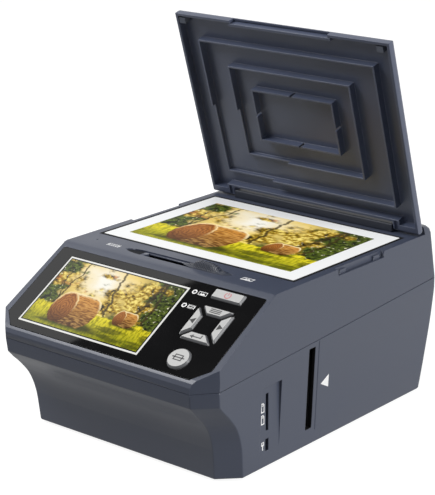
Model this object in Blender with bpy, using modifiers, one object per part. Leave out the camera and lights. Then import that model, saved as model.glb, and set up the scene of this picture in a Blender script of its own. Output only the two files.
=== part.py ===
"""Desktop film-and-photo scanner with a hinged lid, a sloped control panel and a side film slot.

Metres, +Z up, the front faces -Y and the card side faces +X. The origin is on the floor under
the middle of the case. The lid stands open, as photographed, and the mode slider is at its
photo end.
"""
import math

import bmesh
import bpy
from mathutils import Matrix, Vector

MM = 0.001

# Air and overruns
GAP = 0.3 * MM
SLIP = 0.25 * MM
OVER = 3.0 * MM
SINK = 1.0 * MM
BOOL_EPS = 0.0001

# Case outline, read off the photograph
CASE_DEPTH = 264.0 * MM
DECK_HALF = 95.0 * MM
DECK_Z = 121.7 * MM
FOOT_H = 2.0 * MM
SEAM_BULGE = 2.0 * MM
BASE_IN = 1.5 * MM
SEAM_DROP = 42.9 * MM
SEAM_TILT = math.radians(3.43)
LIP_DROP = 60.7 * MM
LIP_H = 9.0 * MM
LIP_LEAN = 1.0 * MM
OVERHANG = 27.0 * MM
CORNER_CHAMFER = 13.5 * MM
BASE_EDGE = 0.8 * MM
REAR_RADIUS = 5.0 * MM
REAR_LEAN = 12.0 * MM
REAR_WIDEST_DROP = 35.0 * MM
REAR_TOP_LEAN = 5.0 * MM
RIM_RISE = 5.5 * MM
RIM_RUN = 16.0 * MM
RIM_RADIUS = 6.0 * MM
RIM_SIDE_RADIUS = 2.5 * MM
WALL = 2.5 * MM
FLOOR = 2.5 * MM
DECK_T = 3.0 * MM
SEAM_OVERLAP = 20.0 * MM

# Sloped panel, measured down the slope from the deck's front edge
PANEL_RUN = 73.0 * MM
SLOPE = math.radians(30.4)
SLOPE_WALL = 4.3 * MM
NOSE_ROUND = 3.4 * MM
BROW_ROUND = 1.2 * MM
BEZEL_SIDE = 3.5 * MM
BEZEL_TOP_S = 5.8 * MM
BEZEL_NOSE = 2.84 * MM
BEZEL_CHAMFER = 10.8 * MM
BEZEL_CORNER = 1.5 * MM
BEZEL_T = 1.5 * MM
WELL_LEFT_IN = 9.7 * MM
WELL_RIGHT_IN = 9.0 * MM
WELL_TOP_IN = 1.3 * MM
WELL_END_IN = 1.8 * MM
WELL_RIB = 3.0 * MM
WELL_RIB_DEPTH = 8.4 * MM

# Screen module and its window
SCREEN_LEFT_IN = 12.5 * MM
SCREEN_KEYS_GAP = 18.0 * MM
SCREEN_TOP_IN = 6.4 * MM
SCREEN_END_IN = 6.2 * MM
SCREEN_BORDER = 2.6 * MM
SCREEN_T = 5.6 * MM
SCREEN_GLASS_SINK = 0.25 * MM
BACK_PLATE_T = 1.5 * MM
BACK_PLATE_SIDE = 1.3 * MM
BACK_PLATE_LIP = 1.5 * MM

# Keys
KEY_RISE = 1.8 * MM
KEY_LAND = 0.3 * MM
KEY_TAPER = 1.0 * MM
KEY_TOP_CORNER = 0.5 * MM
KEY_CORNER = 0.8 * MM
KEY_FLANGE = 0.6 * MM
KEY_FLANGE_T = 1.0 * MM
KEY_TRAVEL = 1.0 * MM
PAD_FROM_SIDE = 27.4 * MM
PAD_OUTER = 15.1 * MM
PAD_INNER = 7.8 * MM
PAD_OUTER_SPAN = 27.0 * MM
PAD_INNER_SPAN = 12.2 * MM
POWER_SHIFT = 0.2 * MM
POWER_W = 25.4 * MM
POWER_H = 8.6 * MM
SCAN_SHIFT = 0.9 * MM
SCAN_R = 8.5 * MM
MAT_T = 1.0 * MM
MAT_SIDE = 3.1 * MM
DOME_R = 2.4 * MM
DOME_H = 1.2 * MM
BOARD_T = 1.6 * MM
LAMP_LEFT = 12.6 * MM
LAMP_R = 1.3 * MM

# Mode slider on the deck
SLIDER_FROM_BROW = 12.7 * MM
SLIDER_REST_X = 25.8 * MM
SLIDER_TRAVEL = 52.0 * MM
KNOB_LENGTH = 42.0 * MM
KNOB_WIDTH = 8.6 * MM
KNOB_BASE_H = 2.0 * MM
KNOB_H = 5.8 * MM
KNOB_RIDGE = 0.35 * MM
STEM_L = 6.0 * MM
STEM_W = 6.4 * MM
GROOVE_D = 1.0 * MM
KNOB_CLEAR = 0.4 * MM
CARRIAGE_L = 34.0 * MM
CARRIAGE_W = 13.0 * MM
CARRIAGE_T = 2.4 * MM
SENSOR_IN = 16.0 * MM
SENSOR_BACK = 3.1 * MM
SENSOR_R = 0.7 * MM

# Platen: the glass lies between the slider and the hinge
GLASS_SIDE = 8.0 * MM
GLASS_FROM_SLIDER = 16.5 * MM
GLASS_FROM_RIM = 18.0 * MM
GLASS_MARGIN = 1.0 * MM
GLASS_T = 2.4 * MM
GLASS_SINK = 0.3 * MM
PRINT_T = 0.3 * MM
SEAL_T = 0.4 * MM
LEDGE = 3.2 * MM
LEDGE_T = 3.6 * MM
FRAME_BAND = 4.0 * MM

# Finger notches in the deck's side edges
NOTCH_L = 54.0 * MM
NOTCH_SHIFT = 2.9 * MM
NOTCH_DEPTH = 4.6 * MM
NOTCH_IN = 3.0 * MM
NOTCH_STEP = 7.0 * MM
NOTCH_STEP_IN = 1.4 * MM
NOTCH_STEP_H = 3.0 * MM

# Lid, seen closed: it runs forward from its hinge axis and its tray opens downward
AXIS_FROM_RIM = 5.8 * MM
AXIS_RISE = 4.3 * MM
LID_OPEN = math.radians(72.8)
LID_FROM_SLIDER = 1.45 * MM
LID_SIDE_OVER = 0.5 * MM
LID_TAIL = 2.05 * MM
LID_T = 8.0 * MM
LID_AXIS_DEPTH = 4.0 * MM
LID_BACK_ROUND = 4.0 * MM
LID_RIM = 2.2 * MM
LID_SKIN = 1.5 * MM
LID_LOBE_W = 21.7 * MM
LID_NOTCH_L = 7.5 * MM
LID_SOLE_L = 9.6 * MM
LOBE_WALL = 5.6 * MM
LOBE_CHEEK = 6.0 * MM
LOBE_SLOT_IN = 1.6 * MM
LOBE_SLOT_W = 2.8 * MM
LOBE_SLOT_D = 1.5 * MM
RIB_T = 1.5 * MM
RIB_SHORT = 0.5 * MM
RIB_LOW = 3.0 * MM
SLIT_W = 2.0 * MM
GRIP_HALF = 43.5 * MM
GRIP_DEPTH = 2.6 * MM
GRIP_H = 4.6 * MM
PAD_W = 5.6 * MM
PAD_L = 4.6 * MM
PAD_FROM_EDGE = 3.4 * MM
LEFT_PAD_IN = 5.4 * MM
RIGHT_PAD_IN = 8.8 * MM
HINGE_BAR_END = 0.8 * MM
HINGE_BAR_NOSE = 5.0 * MM
HINGE_BAR_H = 6.3 * MM
HINGE_BAR_BEVEL = 1.0 * MM
PIN_R = 1.5 * MM
PIN_IN_BAR = 9.0 * MM
PIN_IN_LID = 14.0 * MM

# Film slot and channel
FILM_FROM_BROW = 38.6 * MM
FILM_LOW_Z = 14.4 * MM
FILM_UNDER_SEAM = 3.58 * MM
FILM_W = 6.8 * MM
CHANNEL_WALL = 2.8 * MM
GATE_W = 44.0 * MM
GATE_H = 34.0 * MM
SEAM_GROOVE_W = 0.7 * MM
SEAM_GROOVE_D = 0.6 * MM
SEAM_GROOVE_BACK = 7.1 * MM

# Card and data sockets in the sunk side panel
CARD_FROM_FRONT = 66.2 * MM
CARD_LOW_Z = 28.4 * MM
CARD_SLOT_H = 26.2 * MM
CARD_SLOT_W = 2.6 * MM
USB_LOW_Z = 14.0 * MM
USB_H = 8.4 * MM
USB_W = 3.2 * MM
SUNK_BEFORE = 8.2 * MM
SUNK_BEHIND = 12.8 * MM
SUNK_BELOW = 2.0 * MM
SUNK_ABOVE = 6.2 * MM
SUNK_IN = 3.3 * MM
SUNK_FALL = 0.2 * MM
SOCKET_WALL = 0.6 * MM
SOCKET_PAD = 1.2 * MM
CARD_SOCKET_L = 29.0 * MM
USB_SOCKET_L = 9.0 * MM
MAIN_BOARD_L = 146.0 * MM
MAIN_BOARD_IN = 9.0 * MM
MAIN_BOARD_LOW_Z = 10.0 * MM
MAIN_BOARD_H = 50.0 * MM
BOARD_BLOCK = 8.0 * MM

# Optics inside
TRAY_HALF = 62.0 * MM
TRAY_FROM_REAR = 35.0 * MM
TRAY_LOW_Z = 8.0 * MM
TRAY_UNDER_SEAM = 6.8 * MM
TRAY_WALL = 2.0 * MM
MIRROR_AXIS_UP = 7.0 * MM
MIRROR_TILT = math.radians(45.0)
MIRROR_HALF = 37.0 * MM
MIRROR_FROM_GATE = 11.88 * MM
MIRROR_PLATE_T = 2.4 * MM
MIRROR_GLASS_T = 1.8 * MM
MIRROR_MARGIN = 2.0 * MM
MIRROR_START = 5.0 * MM
SHAFT_R = 2.0 * MM
SHAFT_STICK_OUT = 3.0 * MM
KNUCKLE_R = 3.4 * MM
LENS_R = 7.0 * MM
LENS_L = 12.0 * MM
LENS_FRONT_R = 5.0 * MM
LENS_DISH = 1.5 * MM
CAMERA_HALF = 12.0 * MM
CAMERA_L = 9.0 * MM
CAMERA_BOARD_HALF = 19.0 * MM
LAMP_BOX_HALF_W = 27.0 * MM
LAMP_BOX_HALF_H = 22.0 * MM
LAMP_BOX_L = 8.0 * MM
LAMP_BOX_WALL = 1.5 * MM
DIFFUSER_T = 2.0 * MM
LIGHT_BAR_W = 6.0 * MM
LIGHT_BAR_H = 9.0 * MM
LIGHT_BAR_SHORT = 9.9 * MM
LIGHT_BAR_FACE = 4.0 * MM
LIGHT_BAR_BACK = 0.9 * MM

# Feet, posts and screws
FOOT_R = 6.5 * MM
FOOT_POCKET = 1.0 * MM
FOOT_IN = 21.0 * MM
FOOT_FROM_FRONT = 48.0 * MM
FOOT_FROM_REAR = 32.0 * MM
POST_IN = 7.4 * MM
POST_FROM_FRONT = 48.0 * MM
POST_FROM_REAR = 23.0 * MM
POST_R = 3.6 * MM
POST_SPLIT_Z = 30.0 * MM
SCREW_R = 1.5 * MM
SCREW_HEAD_R = 2.6 * MM
SCREW_HEAD_H = 2.0 * MM
SCREW_GRIP = 9.0 * MM
SCREW_SEAT_T = 2.0 * MM
PAD_HALF = 5.0 * MM

# Rings of the loft along the front sweep and up the rear wall
SWEEP_STEPS = 14
REAR_STEPS = 4
# Height and overhang of the front sweep, bottom to top
SWEEP_SHARES = ((0.0, 0.0), (0.237, 0.05), (0.44, 0.13), (0.644, 0.315),
                (0.814, 0.61), (0.915, 0.833), (1.0, 1.0))
# Height and lean of the rear wall up to its widest line
REAR_SHARES = ((0.0, 0.0), (0.33, 0.43), (0.66, 0.80), (1.0, 1.0))
# Length, width and height of the slider knob from tip to tip
KNOB_SHARES = ((0.0, 0.10, 0.35), (0.06, 0.45, 0.6), (0.14, 0.72, 1.0), (0.24, 0.9, 1.0),
               (0.34, 1.0, 1.0))
KNOB_HUMP_SHARES = ((0.22, 0.30), (0.28, 0.62), (0.34, 0.86), (0.39, 1.0), (0.61, 1.0),
                    (0.66, 0.86), (0.72, 0.62), (0.78, 0.30))
# Places down the bezel of the power key, the pad, the scan key and the two lamps
POWER_SHARE = 0.0832
PAD_SHARE = 0.4294
SCAN_SHARE = 0.8347
LAMP_SHARES = (0.1158, 0.2816)
# Half width, start, end and low corner of the lid's ribs: shares of its half width, length and half width
OUTER_RIB_SHARES = (0.8283, 0.125, 0.8698, -0.3518)
MID_RIB_SHARES = (0.578, 0.248, 0.7487, -0.155)
INNER_RIB_SHARES = (0.3864, 0.3575, 0.6398, 0.0)
LOW_SIDE_SHARE = 0.5073
# Mirror shaft between the gate and the lens
MIRROR_SHARE = 0.6483

# Heights and widths of the case
FRONT_Y = -CASE_DEPTH / 2
REAR_Y = CASE_DEPTH / 2
SEAM_HALF = DECK_HALF + SEAM_BULGE
BASE_HALF = DECK_HALF - BASE_IN
SEAM_MID_Z = DECK_Z - SEAM_DROP
LIP_Z = DECK_Z - LIP_DROP
LIP_TOP_Z = LIP_Z + LIP_H
REAR_WIDEST_Z = DECK_Z - REAR_WIDEST_DROP
RIM_TOP_Z = DECK_Z + RIM_RISE
RIM_FRONT_Y = REAR_Y - RIM_RUN
DECK_FRONT_Y = FRONT_Y + PANEL_RUN
BASE_FRONT_Y = FRONT_Y + LIP_LEAN + OVERHANG
BASE_REAR_Y = REAR_Y - REAR_LEAN
BASE_TOP_Z = FOOT_H + FLOOR

# Places on the sloped panel
SLOPE_RUN = PANEL_RUN / math.cos(SLOPE)
NOSE_Z = DECK_Z - SLOPE_RUN * math.sin(SLOPE)
BEZEL_HALF = DECK_HALF - BEZEL_SIDE
BEZEL_END_S = SLOPE_RUN - BEZEL_NOSE
WELL_LEFT_X = WELL_LEFT_IN - BEZEL_HALF
WELL_RIGHT_X = BEZEL_HALF - WELL_RIGHT_IN
WELL_TOP_S = BEZEL_TOP_S + WELL_TOP_IN
WELL_END_S = BEZEL_END_S - WELL_END_IN
BACK_PLATE_HALF = WELL_RIGHT_X + BACK_PLATE_SIDE
PAD_X = BEZEL_HALF - PAD_FROM_SIDE
POWER_X = PAD_X - POWER_SHIFT
SCAN_X = PAD_X - SCAN_SHIFT
SCREEN_LEFT_X = SCREEN_LEFT_IN - BEZEL_HALF
SCREEN_W = PAD_X - PAD_OUTER - SCREEN_KEYS_GAP - SCREEN_LEFT_X
SCREEN_X = SCREEN_LEFT_X + SCREEN_W / 2
SCREEN_H = BEZEL_END_S - BEZEL_TOP_S - SCREEN_TOP_IN - SCREEN_END_IN
SCREEN_S = BEZEL_TOP_S + SCREEN_TOP_IN + SCREEN_H / 2
LAMP_X = PAD_X - PAD_OUTER - LAMP_LEFT
MAT_LEFT_X = PAD_X - PAD_OUTER - MAT_SIDE
BEZEL_RUN = BEZEL_END_S - BEZEL_TOP_S
POWER_S = BEZEL_TOP_S + BEZEL_RUN * POWER_SHARE
PAD_S = BEZEL_TOP_S + BEZEL_RUN * PAD_SHARE
SCAN_S = BEZEL_TOP_S + BEZEL_RUN * SCAN_SHARE
LAMPS = [(LAMP_X, BEZEL_TOP_S + BEZEL_RUN * share) for share in LAMP_SHARES]

# Places on the deck
SLIDER_Y = DECK_FRONT_Y + SLIDER_FROM_BROW
SENSOR_X = SENSOR_IN - DECK_HALF
SENSOR_Y = SLIDER_Y + SENSOR_BACK
GLASS_HALF = DECK_HALF - GLASS_SIDE
GLASS_FRONT_Y = SLIDER_Y + GLASS_FROM_SLIDER
GLASS_HALF_D = (RIM_FRONT_Y - GLASS_FROM_RIM - GLASS_FRONT_Y) / 2
PLATEN_MID_Y = GLASS_FRONT_Y + GLASS_HALF_D
PRINT_W = (GLASS_HALF - GLASS_MARGIN) * 2
PRINT_D = (GLASS_HALF_D - GLASS_MARGIN) * 2
FRAME_HALF = DECK_HALF - WALL + SINK
NOTCH_FRONT_Y = PLATEN_MID_Y + NOTCH_SHIFT - NOTCH_L / 2
NOTCH_BACK_Y = NOTCH_FRONT_Y + NOTCH_L
AXIS_Y = RIM_FRONT_Y - AXIS_FROM_RIM
AXIS_Z = DECK_Z + AXIS_RISE
HINGE_BAR_FRONT_Y = AXIS_Y - HINGE_BAR_NOSE
LID_HALF = DECK_HALF + LID_SIDE_OVER
LID_LENGTH = AXIS_Y + LID_TAIL - SLIDER_Y - KNOB_WIDTH / 2 - LID_FROM_SLIDER
LID_NOTCH_HALF = LID_HALF - LID_LOBE_W
LOBE_IN_HALF = LID_NOTCH_HALF + LOBE_CHEEK
HINGE_BAR_HALF = LID_NOTCH_HALF - HINGE_BAR_END
LEFT_PAD_X = LEFT_PAD_IN - LID_HALF
RIGHT_PAD_X = LID_HALF - RIGHT_PAD_IN

# Places in the tub
FILM_Y = DECK_FRONT_Y + FILM_FROM_BROW
FILM_H = SEAM_MID_Z + FILM_Y * math.tan(SEAM_TILT) - FILM_UNDER_SEAM - FILM_LOW_Z
SEAM_GROOVE_Y = FILM_Y + SEAM_GROOVE_BACK
OPTIC_Z = FILM_LOW_Z + FILM_H / 2
CARD_Y = FRONT_Y + CARD_FROM_FRONT
SUNK_FRONT_Y = CARD_Y - SUNK_BEFORE
SUNK_BACK_Y = CARD_Y + SUNK_BEHIND
SUNK_LOW_Z = USB_LOW_Z - SUNK_BELOW
SUNK_HIGH_Z = CARD_LOW_Z + CARD_SLOT_H + SUNK_ABOVE
SUNK_FACE_X = SEAM_HALF - SUNK_IN
MAIN_BOARD_RIGHT_X = SEAM_HALF - MAIN_BOARD_IN
MAIN_BOARD_LEFT_X = MAIN_BOARD_RIGHT_X - MAIN_BOARD_L
TRAY_BACK_Y = REAR_Y - TRAY_FROM_REAR
TRAY_H = SEAM_MID_Z - TRAY_UNDER_SEAM - TRAY_LOW_Z
MIRROR_AXIS_Z = TRAY_LOW_Z + MIRROR_AXIS_UP
FOOT_X = SEAM_HALF - FOOT_IN - SEAM_BULGE
FOOT_FRONT_Y = FRONT_Y + FOOT_FROM_FRONT
FOOT_BACK_Y = REAR_Y - FOOT_FROM_REAR
POST_X = DECK_HALF - POST_IN
POST_FRONT_Y = FRONT_Y + POST_FROM_FRONT
POST_BACK_Y = REAR_Y - POST_FROM_REAR
POST_TOP_Z = DECK_Z - DECK_T + SINK / 2


# Collections
for old in list(bpy.data.objects):
    bpy.data.objects.remove(old, do_unlink=True)
PARTS = bpy.data.collections.new("film_photo_scanner")
CUTTERS = bpy.data.collections.new("cutters")
for group in (PARTS, CUTTERS):
    bpy.context.scene.collection.children.link(group)


# Materials
def material(name, colour, roughness, metallic=0.0):
    """Return a Principled material with the part's colour."""
    mat = bpy.data.materials.new(name)
    mat.use_nodes = True
    shader = mat.node_tree.nodes["Principled BSDF"]
    shader.inputs["Base Color"].default_value = (*colour, 1.0)
    shader.inputs["Roughness"].default_value = roughness
    shader.inputs["Metallic"].default_value = metallic
    mat.diffuse_color = (*colour, 1.0)
    return mat


CASE_BLUE = (0.062, 0.072, 0.098)
BLACK = (0.008, 0.008, 0.009)
KEY_GREY = (0.62, 0.62, 0.62)
BOARD_GREEN = (0.02, 0.12, 0.05)
STEEL = (0.5, 0.5, 0.52)
CLEAR = (0.75, 0.8, 0.8)
WHITE = (0.85, 0.85, 0.83)
RUBBER = (0.02, 0.02, 0.02)


# Making and joining meshes
def add_object(name, mesh, mat, collection=None):
    """Wrap a mesh in an object of the given collection."""
    obj = bpy.data.objects.new(name, mesh)
    (collection or PARTS).objects.link(obj)
    if mat is not None:
        mesh.materials.append(mat)
    if collection is CUTTERS:
        obj.hide_render = True
        obj.display_type = "WIRE"
    return obj


def box_mesh(name, low, high):
    """Return a box between two corners."""
    mesh = bpy.data.meshes.new(name)
    bm = bmesh.new()
    bmesh.ops.create_cube(bm, size=1.0)
    low, high = Vector(low), Vector(high)
    size = high - low
    bmesh.ops.scale(bm, vec=size, verts=bm.verts)
    bmesh.ops.translate(bm, vec=(low + high) / 2, verts=bm.verts)
    bm.to_mesh(mesh)
    bm.free()
    return mesh


def rod_mesh(name, radius, length, axis, centre, sides=24):
    """Return a cylinder of the given length about an axis through its centre."""
    mesh = bpy.data.meshes.new(name)
    bm = bmesh.new()
    bmesh.ops.create_cone(bm, cap_ends=True, segments=sides, radius1=radius, radius2=radius, depth=length)
    turn = Vector((0, 0, 1)).rotation_difference(Vector(axis)).to_matrix().to_4x4()
    bmesh.ops.transform(bm, matrix=Matrix.Translation(centre) @ turn, verts=bm.verts)
    bm.to_mesh(mesh)
    bm.free()
    mesh.shade_smooth()
    mesh.set_sharp_from_angle(angle=math.radians(40))
    return mesh


def plate_mesh(name, outlines, low, high):
    """Return a flat plate from closed outlines; outlines inside the first one are holes."""
    curve = bpy.data.curves.new(name, "CURVE")
    curve.dimensions = "2D"
    curve.fill_mode = "BOTH"
    curve.extrude = (high - low) / 2
    for outline in outlines:
        spline = curve.splines.new("POLY")
        spline.points.add(len(outline) - 1)
        for point, (px, py) in zip(spline.points, outline):
            point.co = (px, py, 0, 1)
        spline.use_cyclic_u = True
    holder = bpy.data.objects.new(name, curve)
    bpy.context.scene.collection.objects.link(holder)
    bpy.context.view_layer.update()
    graph = bpy.context.evaluated_depsgraph_get()
    mesh = bpy.data.meshes.new_from_object(holder.evaluated_get(graph))
    bpy.data.objects.remove(holder, do_unlink=True)
    bm = bmesh.new()
    bm.from_mesh(mesh)
    bmesh.ops.remove_doubles(bm, verts=bm.verts, dist=BOOL_EPS / 100)
    bmesh.ops.dissolve_limit(bm, angle_limit=math.radians(0.5), verts=bm.verts, edges=bm.edges)
    bmesh.ops.translate(bm, vec=(0, 0, (low + high) / 2), verts=bm.verts)
    bmesh.ops.recalc_face_normals(bm, faces=bm.faces)
    bm.to_mesh(mesh)
    bm.free()
    mesh.name = name
    return mesh


def loft_mesh(name, rings):
    """Return a closed loft through rings that hold the same number of points."""
    mesh = bpy.data.meshes.new(name)
    bm = bmesh.new()
    loops = [[bm.verts.new(point) for point in ring] for ring in rings]
    for low, high in zip(loops, loops[1:]):
        for i in range(len(low)):
            j = (i + 1) % len(low)
            bm.faces.new((low[i], low[j], high[j], high[i]))
    bm.faces.new(list(reversed(loops[0])))
    bm.faces.new(loops[-1])
    bmesh.ops.recalc_face_normals(bm, faces=bm.faces)
    bm.to_mesh(mesh)
    bm.free()
    return mesh


def turned_object(name, profile, sides, mat):
    """Return an object turned about +Z from a (radius, height) profile that runs from top to bottom."""
    mesh = bpy.data.meshes.new(name)
    bm = bmesh.new()
    points = [bm.verts.new((radius, 0, height)) for radius, height in profile]
    for upper, lower in zip(points, points[1:]):
        bm.edges.new((upper, lower))
    bm.to_mesh(mesh)
    bm.free()
    obj = add_object(name, mesh, mat)
    turn = obj.modifiers.new("turn", "SCREW")
    turn.axis = "Z"
    turn.angle = 2 * math.pi
    turn.steps = sides
    turn.render_steps = sides
    turn.use_merge_vertices = True
    turn.merge_threshold = BOOL_EPS / 10
    turn.use_smooth_shade = False
    return obj


def combine(obj, mesh, operation, matrix=None):
    """Add a live Boolean between an object and a helper mesh."""
    helper = add_object(f"{obj.name}_{operation.lower()}_{len(obj.modifiers)}", mesh, None, CUTTERS)
    if matrix is not None:
        helper.matrix_world = matrix
    modifier = obj.modifiers.new(helper.name, "BOOLEAN")
    modifier.operation = operation
    modifier.solver = "EXACT"
    modifier.object = helper
    return helper


def cut(obj, mesh, matrix=None):
    """Take a helper mesh away from an object."""
    return combine(obj, mesh, "DIFFERENCE", matrix)


def join(obj, mesh, matrix=None):
    """Join a helper mesh to an object."""
    return combine(obj, mesh, "UNION", matrix)


def offset_outline(points, distance):
    """Move each side of a convex counter-clockwise outline outward by a distance."""
    moved = []
    count = len(points)
    for i in range(count):
        before = Vector(points[i - 1])
        here = Vector(points[i])
        after = Vector(points[(i + 1) % count])
        first = (here - before).normalized()
        second = (after - here).normalized()
        normal_a = Vector((first.y, -first.x))
        normal_b = Vector((second.y, -second.x))
        lean = (normal_a + normal_b) / (1 + normal_a.dot(normal_b))
        moved.append(tuple(here + lean * distance))
    return moved


def rounded(points, radius, steps=3):
    """Round every corner of a convex counter-clockwise outline."""
    result = []
    count = len(points)
    for i in range(count):
        before = Vector(points[i - 1])
        here = Vector(points[i])
        after = Vector(points[(i + 1) % count])
        first = (before - here).normalized()
        second = (after - here).normalized()
        half = first.angle(second) / 2
        reach = radius / math.tan(half)
        centre = here + (first + second).normalized() * (radius / math.sin(half))
        start = here + first * reach - centre
        end = here + second * reach - centre
        turn = start.angle_signed(end)
        for k in range(steps + 1):
            spin = Matrix.Rotation(-turn * k / steps, 2)
            result.append(tuple(centre + spin @ start))
    return result


def rectangle(x0, y0, x1, y1):
    """Return a counter-clockwise rectangle."""
    return [(x0, y0), (x1, y0), (x1, y1), (x0, y1)]


# Case surface
def mix(first, second, share):
    """Blend two values."""
    return first + (second - first) * share


def read_table(table, share):
    """Read a table of (place, value) shares."""
    for (a0, b0), (a1, b1) in zip(table, table[1:]):
        if share <= a1:
            return mix(b0, b1, (share - a0) / (a1 - a0))
    return table[-1][1]


def read_curve(table, share):
    """Read a smooth curve through a table of (place, value) shares."""
    points = list(table)
    k = 0
    while k < len(points) - 2 and share > points[k + 1][0]:
        k += 1
    (a0, b0), (a1, b1) = points[k], points[k + 1]
    before = points[max(k - 1, 0)]
    after = points[min(k + 2, len(points) - 1)]
    t = (share - a0) / (a1 - a0)
    slope_a = (b1 - before[1]) / (a1 - before[0]) * (a1 - a0)
    slope_b = (after[1] - b0) / (after[0] - a0) * (a1 - a0)
    return ((2 * t ** 3 - 3 * t ** 2 + 1) * b0 + (t ** 3 - 2 * t ** 2 + t) * slope_a
            + (3 * t ** 2 - 2 * t ** 3) * b1 + (t ** 3 - t ** 2) * slope_b)


def seam_z(y):
    """Height of the parting line, which rises toward the back."""
    return SEAM_MID_Z + y * math.tan(SEAM_TILT)


def half_width(z):
    """Half width of the case at a height."""
    if z <= SEAM_MID_Z:
        return mix(BASE_HALF, SEAM_HALF, (z - FOOT_H) / (SEAM_MID_Z - FOOT_H))
    return mix(SEAM_HALF, DECK_HALF, (z - SEAM_MID_Z) / (DECK_Z - SEAM_MID_Z))


def front_y(z):
    """Front of the case: a concave sweep below the lip, then the upright fascia."""
    if z <= LIP_Z:
        share = (z - FOOT_H) / (LIP_Z - FOOT_H)
        return BASE_FRONT_Y - OVERHANG * read_curve(SWEEP_SHARES, share)
    return FRONT_Y + LIP_LEAN * max(0.0, 1 - (z - LIP_Z) / (LIP_TOP_Z - LIP_Z))


def rear_y(z):
    """Back of the case, widest just above the parting line."""
    if z <= REAR_WIDEST_Z:
        share = (z - FOOT_H) / (REAR_WIDEST_Z - FOOT_H)
        return BASE_REAR_Y + REAR_LEAN * read_curve(REAR_SHARES, share)
    return REAR_Y - REAR_TOP_LEAN * (z - REAR_WIDEST_Z) / (DECK_Z - REAR_WIDEST_Z)


def case_ring(z, inset, rear_more=0.0, side_more=0.0, at_z=None):
    """Plan outline of the case at a height, drawn in from the outside by an inset."""
    half = half_width(z) - inset - side_more
    front = front_y(z) + inset
    rear = rear_y(z) - inset - rear_more
    chamfer = CORNER_CHAMFER - inset * (2 - math.sqrt(2))
    radius = max(REAR_RADIUS - inset, WALL / 2)
    ring = [(-half + chamfer, front), (half - chamfer, front), (half, front + chamfer)]
    for k in range(5):
        angle = math.radians(22.5 * k)
        ring.append((half - radius + radius * math.cos(angle), rear - radius + radius * math.sin(angle)))
    for k in range(5):
        angle = math.radians(90 + 22.5 * k)
        ring.append((-half + radius + radius * math.cos(angle), rear - radius + radius * math.sin(angle)))
    ring.append((-half, front + chamfer))
    level = z if at_z is None else at_z
    return [(px, py, level) for px, py in ring]


def side_prism(name, profile, half):
    """Extrude a (y, z) profile sideways across the case."""
    return loft_mesh(name, [[(x, y, z) for y, z in profile] for x in (-half, half)])


CASE_PAINT = material("case_plastic", CASE_BLUE, 0.45)
LOWER_PAINT = material("lower_case_plastic", CASE_BLUE, 0.47)
SWEEP_HEIGHTS = [FOOT_H + (LIP_Z - FOOT_H) * math.sqrt(k / SWEEP_STEPS) for k in range(SWEEP_STEPS + 1)]
REAR_HEIGHTS = [FOOT_H + (REAR_WIDEST_Z - FOOT_H) * k / REAR_STEPS for k in range(1, REAR_STEPS + 1)]
SEAM_LOW_Z = seam_z(FRONT_Y)
SEAM_HIGH_Z = seam_z(REAR_Y)
WIDE = SEAM_HALF + OVER

# Panel frame: x to the right, y up the slope, z out of the panel
PANEL = Matrix.Translation((0, DECK_FRONT_Y, DECK_Z)) @ Matrix.Rotation(SLOPE, 4, "X")


def slope_point(s, n=0.0):
    """Side-view place (y, z) at a distance down the slope and a height off it."""
    return (DECK_FRONT_Y - s * math.cos(SLOPE) - n * math.sin(SLOPE),
            DECK_Z - s * math.sin(SLOPE) + n * math.cos(SLOPE))


# Lower case: a lofted tub with a concave front and chamfered front corners
def lower_rings(inset, floor_z):
    """Rings of the tub from a floor height up past the parting line."""
    heights = sorted(set(SWEEP_HEIGHTS + REAR_HEIGHTS + [LIP_TOP_Z, SEAM_MID_Z, SEAM_HIGH_Z + SEAM_OVERLAP]))
    return [case_ring(max(z, floor_z), inset) for z in heights if z > floor_z]


outer = [case_ring(FOOT_H, BASE_EDGE), case_ring(FOOT_H, 0.0, at_z=FOOT_H + BASE_EDGE)]
outer += lower_rings(0.0, FOOT_H + BASE_EDGE)
lower_case = add_object("lower_case", loft_mesh("lower_case", outer), LOWER_PAINT)
inner = [case_ring(BASE_TOP_Z, WALL)] + lower_rings(WALL, BASE_TOP_Z)
cut(lower_case, loft_mesh("tub_hollow", inner))

# Posts, pads and board blocks stand on the floor of the tub
for side in (-1, 1):
    for post_y in (POST_FRONT_Y, POST_BACK_Y):
        low = FOOT_H + SINK
        length = POST_SPLIT_Z - low
        join(lower_case, rod_mesh("post", POST_R, length, (0, 0, 1),
                                  (side * POST_X, post_y, low + length / 2), 20))
CHANNEL_LOW_Z = FILM_LOW_Z - CHANNEL_WALL
CHANNEL_HIGH_Z = FILM_LOW_Z + FILM_H + CHANNEL_WALL
CHANNEL_FRONT_Y = FILM_Y - FILM_W / 2 - CHANNEL_WALL
CHANNEL_BACK_Y = FILM_Y + FILM_W / 2 + CHANNEL_WALL
TRAY_FRONT_Y = CHANNEL_BACK_Y + GAP
MIRROR_AXIS_Y = mix(TRAY_FRONT_Y, TRAY_BACK_Y, MIRROR_SHARE)
MIRROR_L = MIRROR_AXIS_Y - TRAY_FRONT_Y - TRAY_WALL - MIRROR_FROM_GATE
for side in (-1, 1):
    x = side * TRAY_HALF
    join(lower_case, box_mesh("channel_pad", (x - PAD_HALF, CHANNEL_FRONT_Y, FOOT_H + SINK),
                              (x + PAD_HALF, CHANNEL_BACK_Y, CHANNEL_LOW_Z - GAP)))
    for y in (TRAY_FRONT_Y + PAD_HALF * 2, TRAY_BACK_Y - PAD_HALF * 2):
        x = side * (TRAY_HALF - PAD_HALF * 2)
        join(lower_case, box_mesh("tray_pad", (x - PAD_HALF, y - PAD_HALF, FOOT_H + SINK),
                                  (x + PAD_HALF, y + PAD_HALF, TRAY_LOW_Z - GAP)))
MAIN_BOARD_Y = CARD_Y + CARD_SLOT_W / 2 + SOCKET_WALL + SLIP
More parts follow.
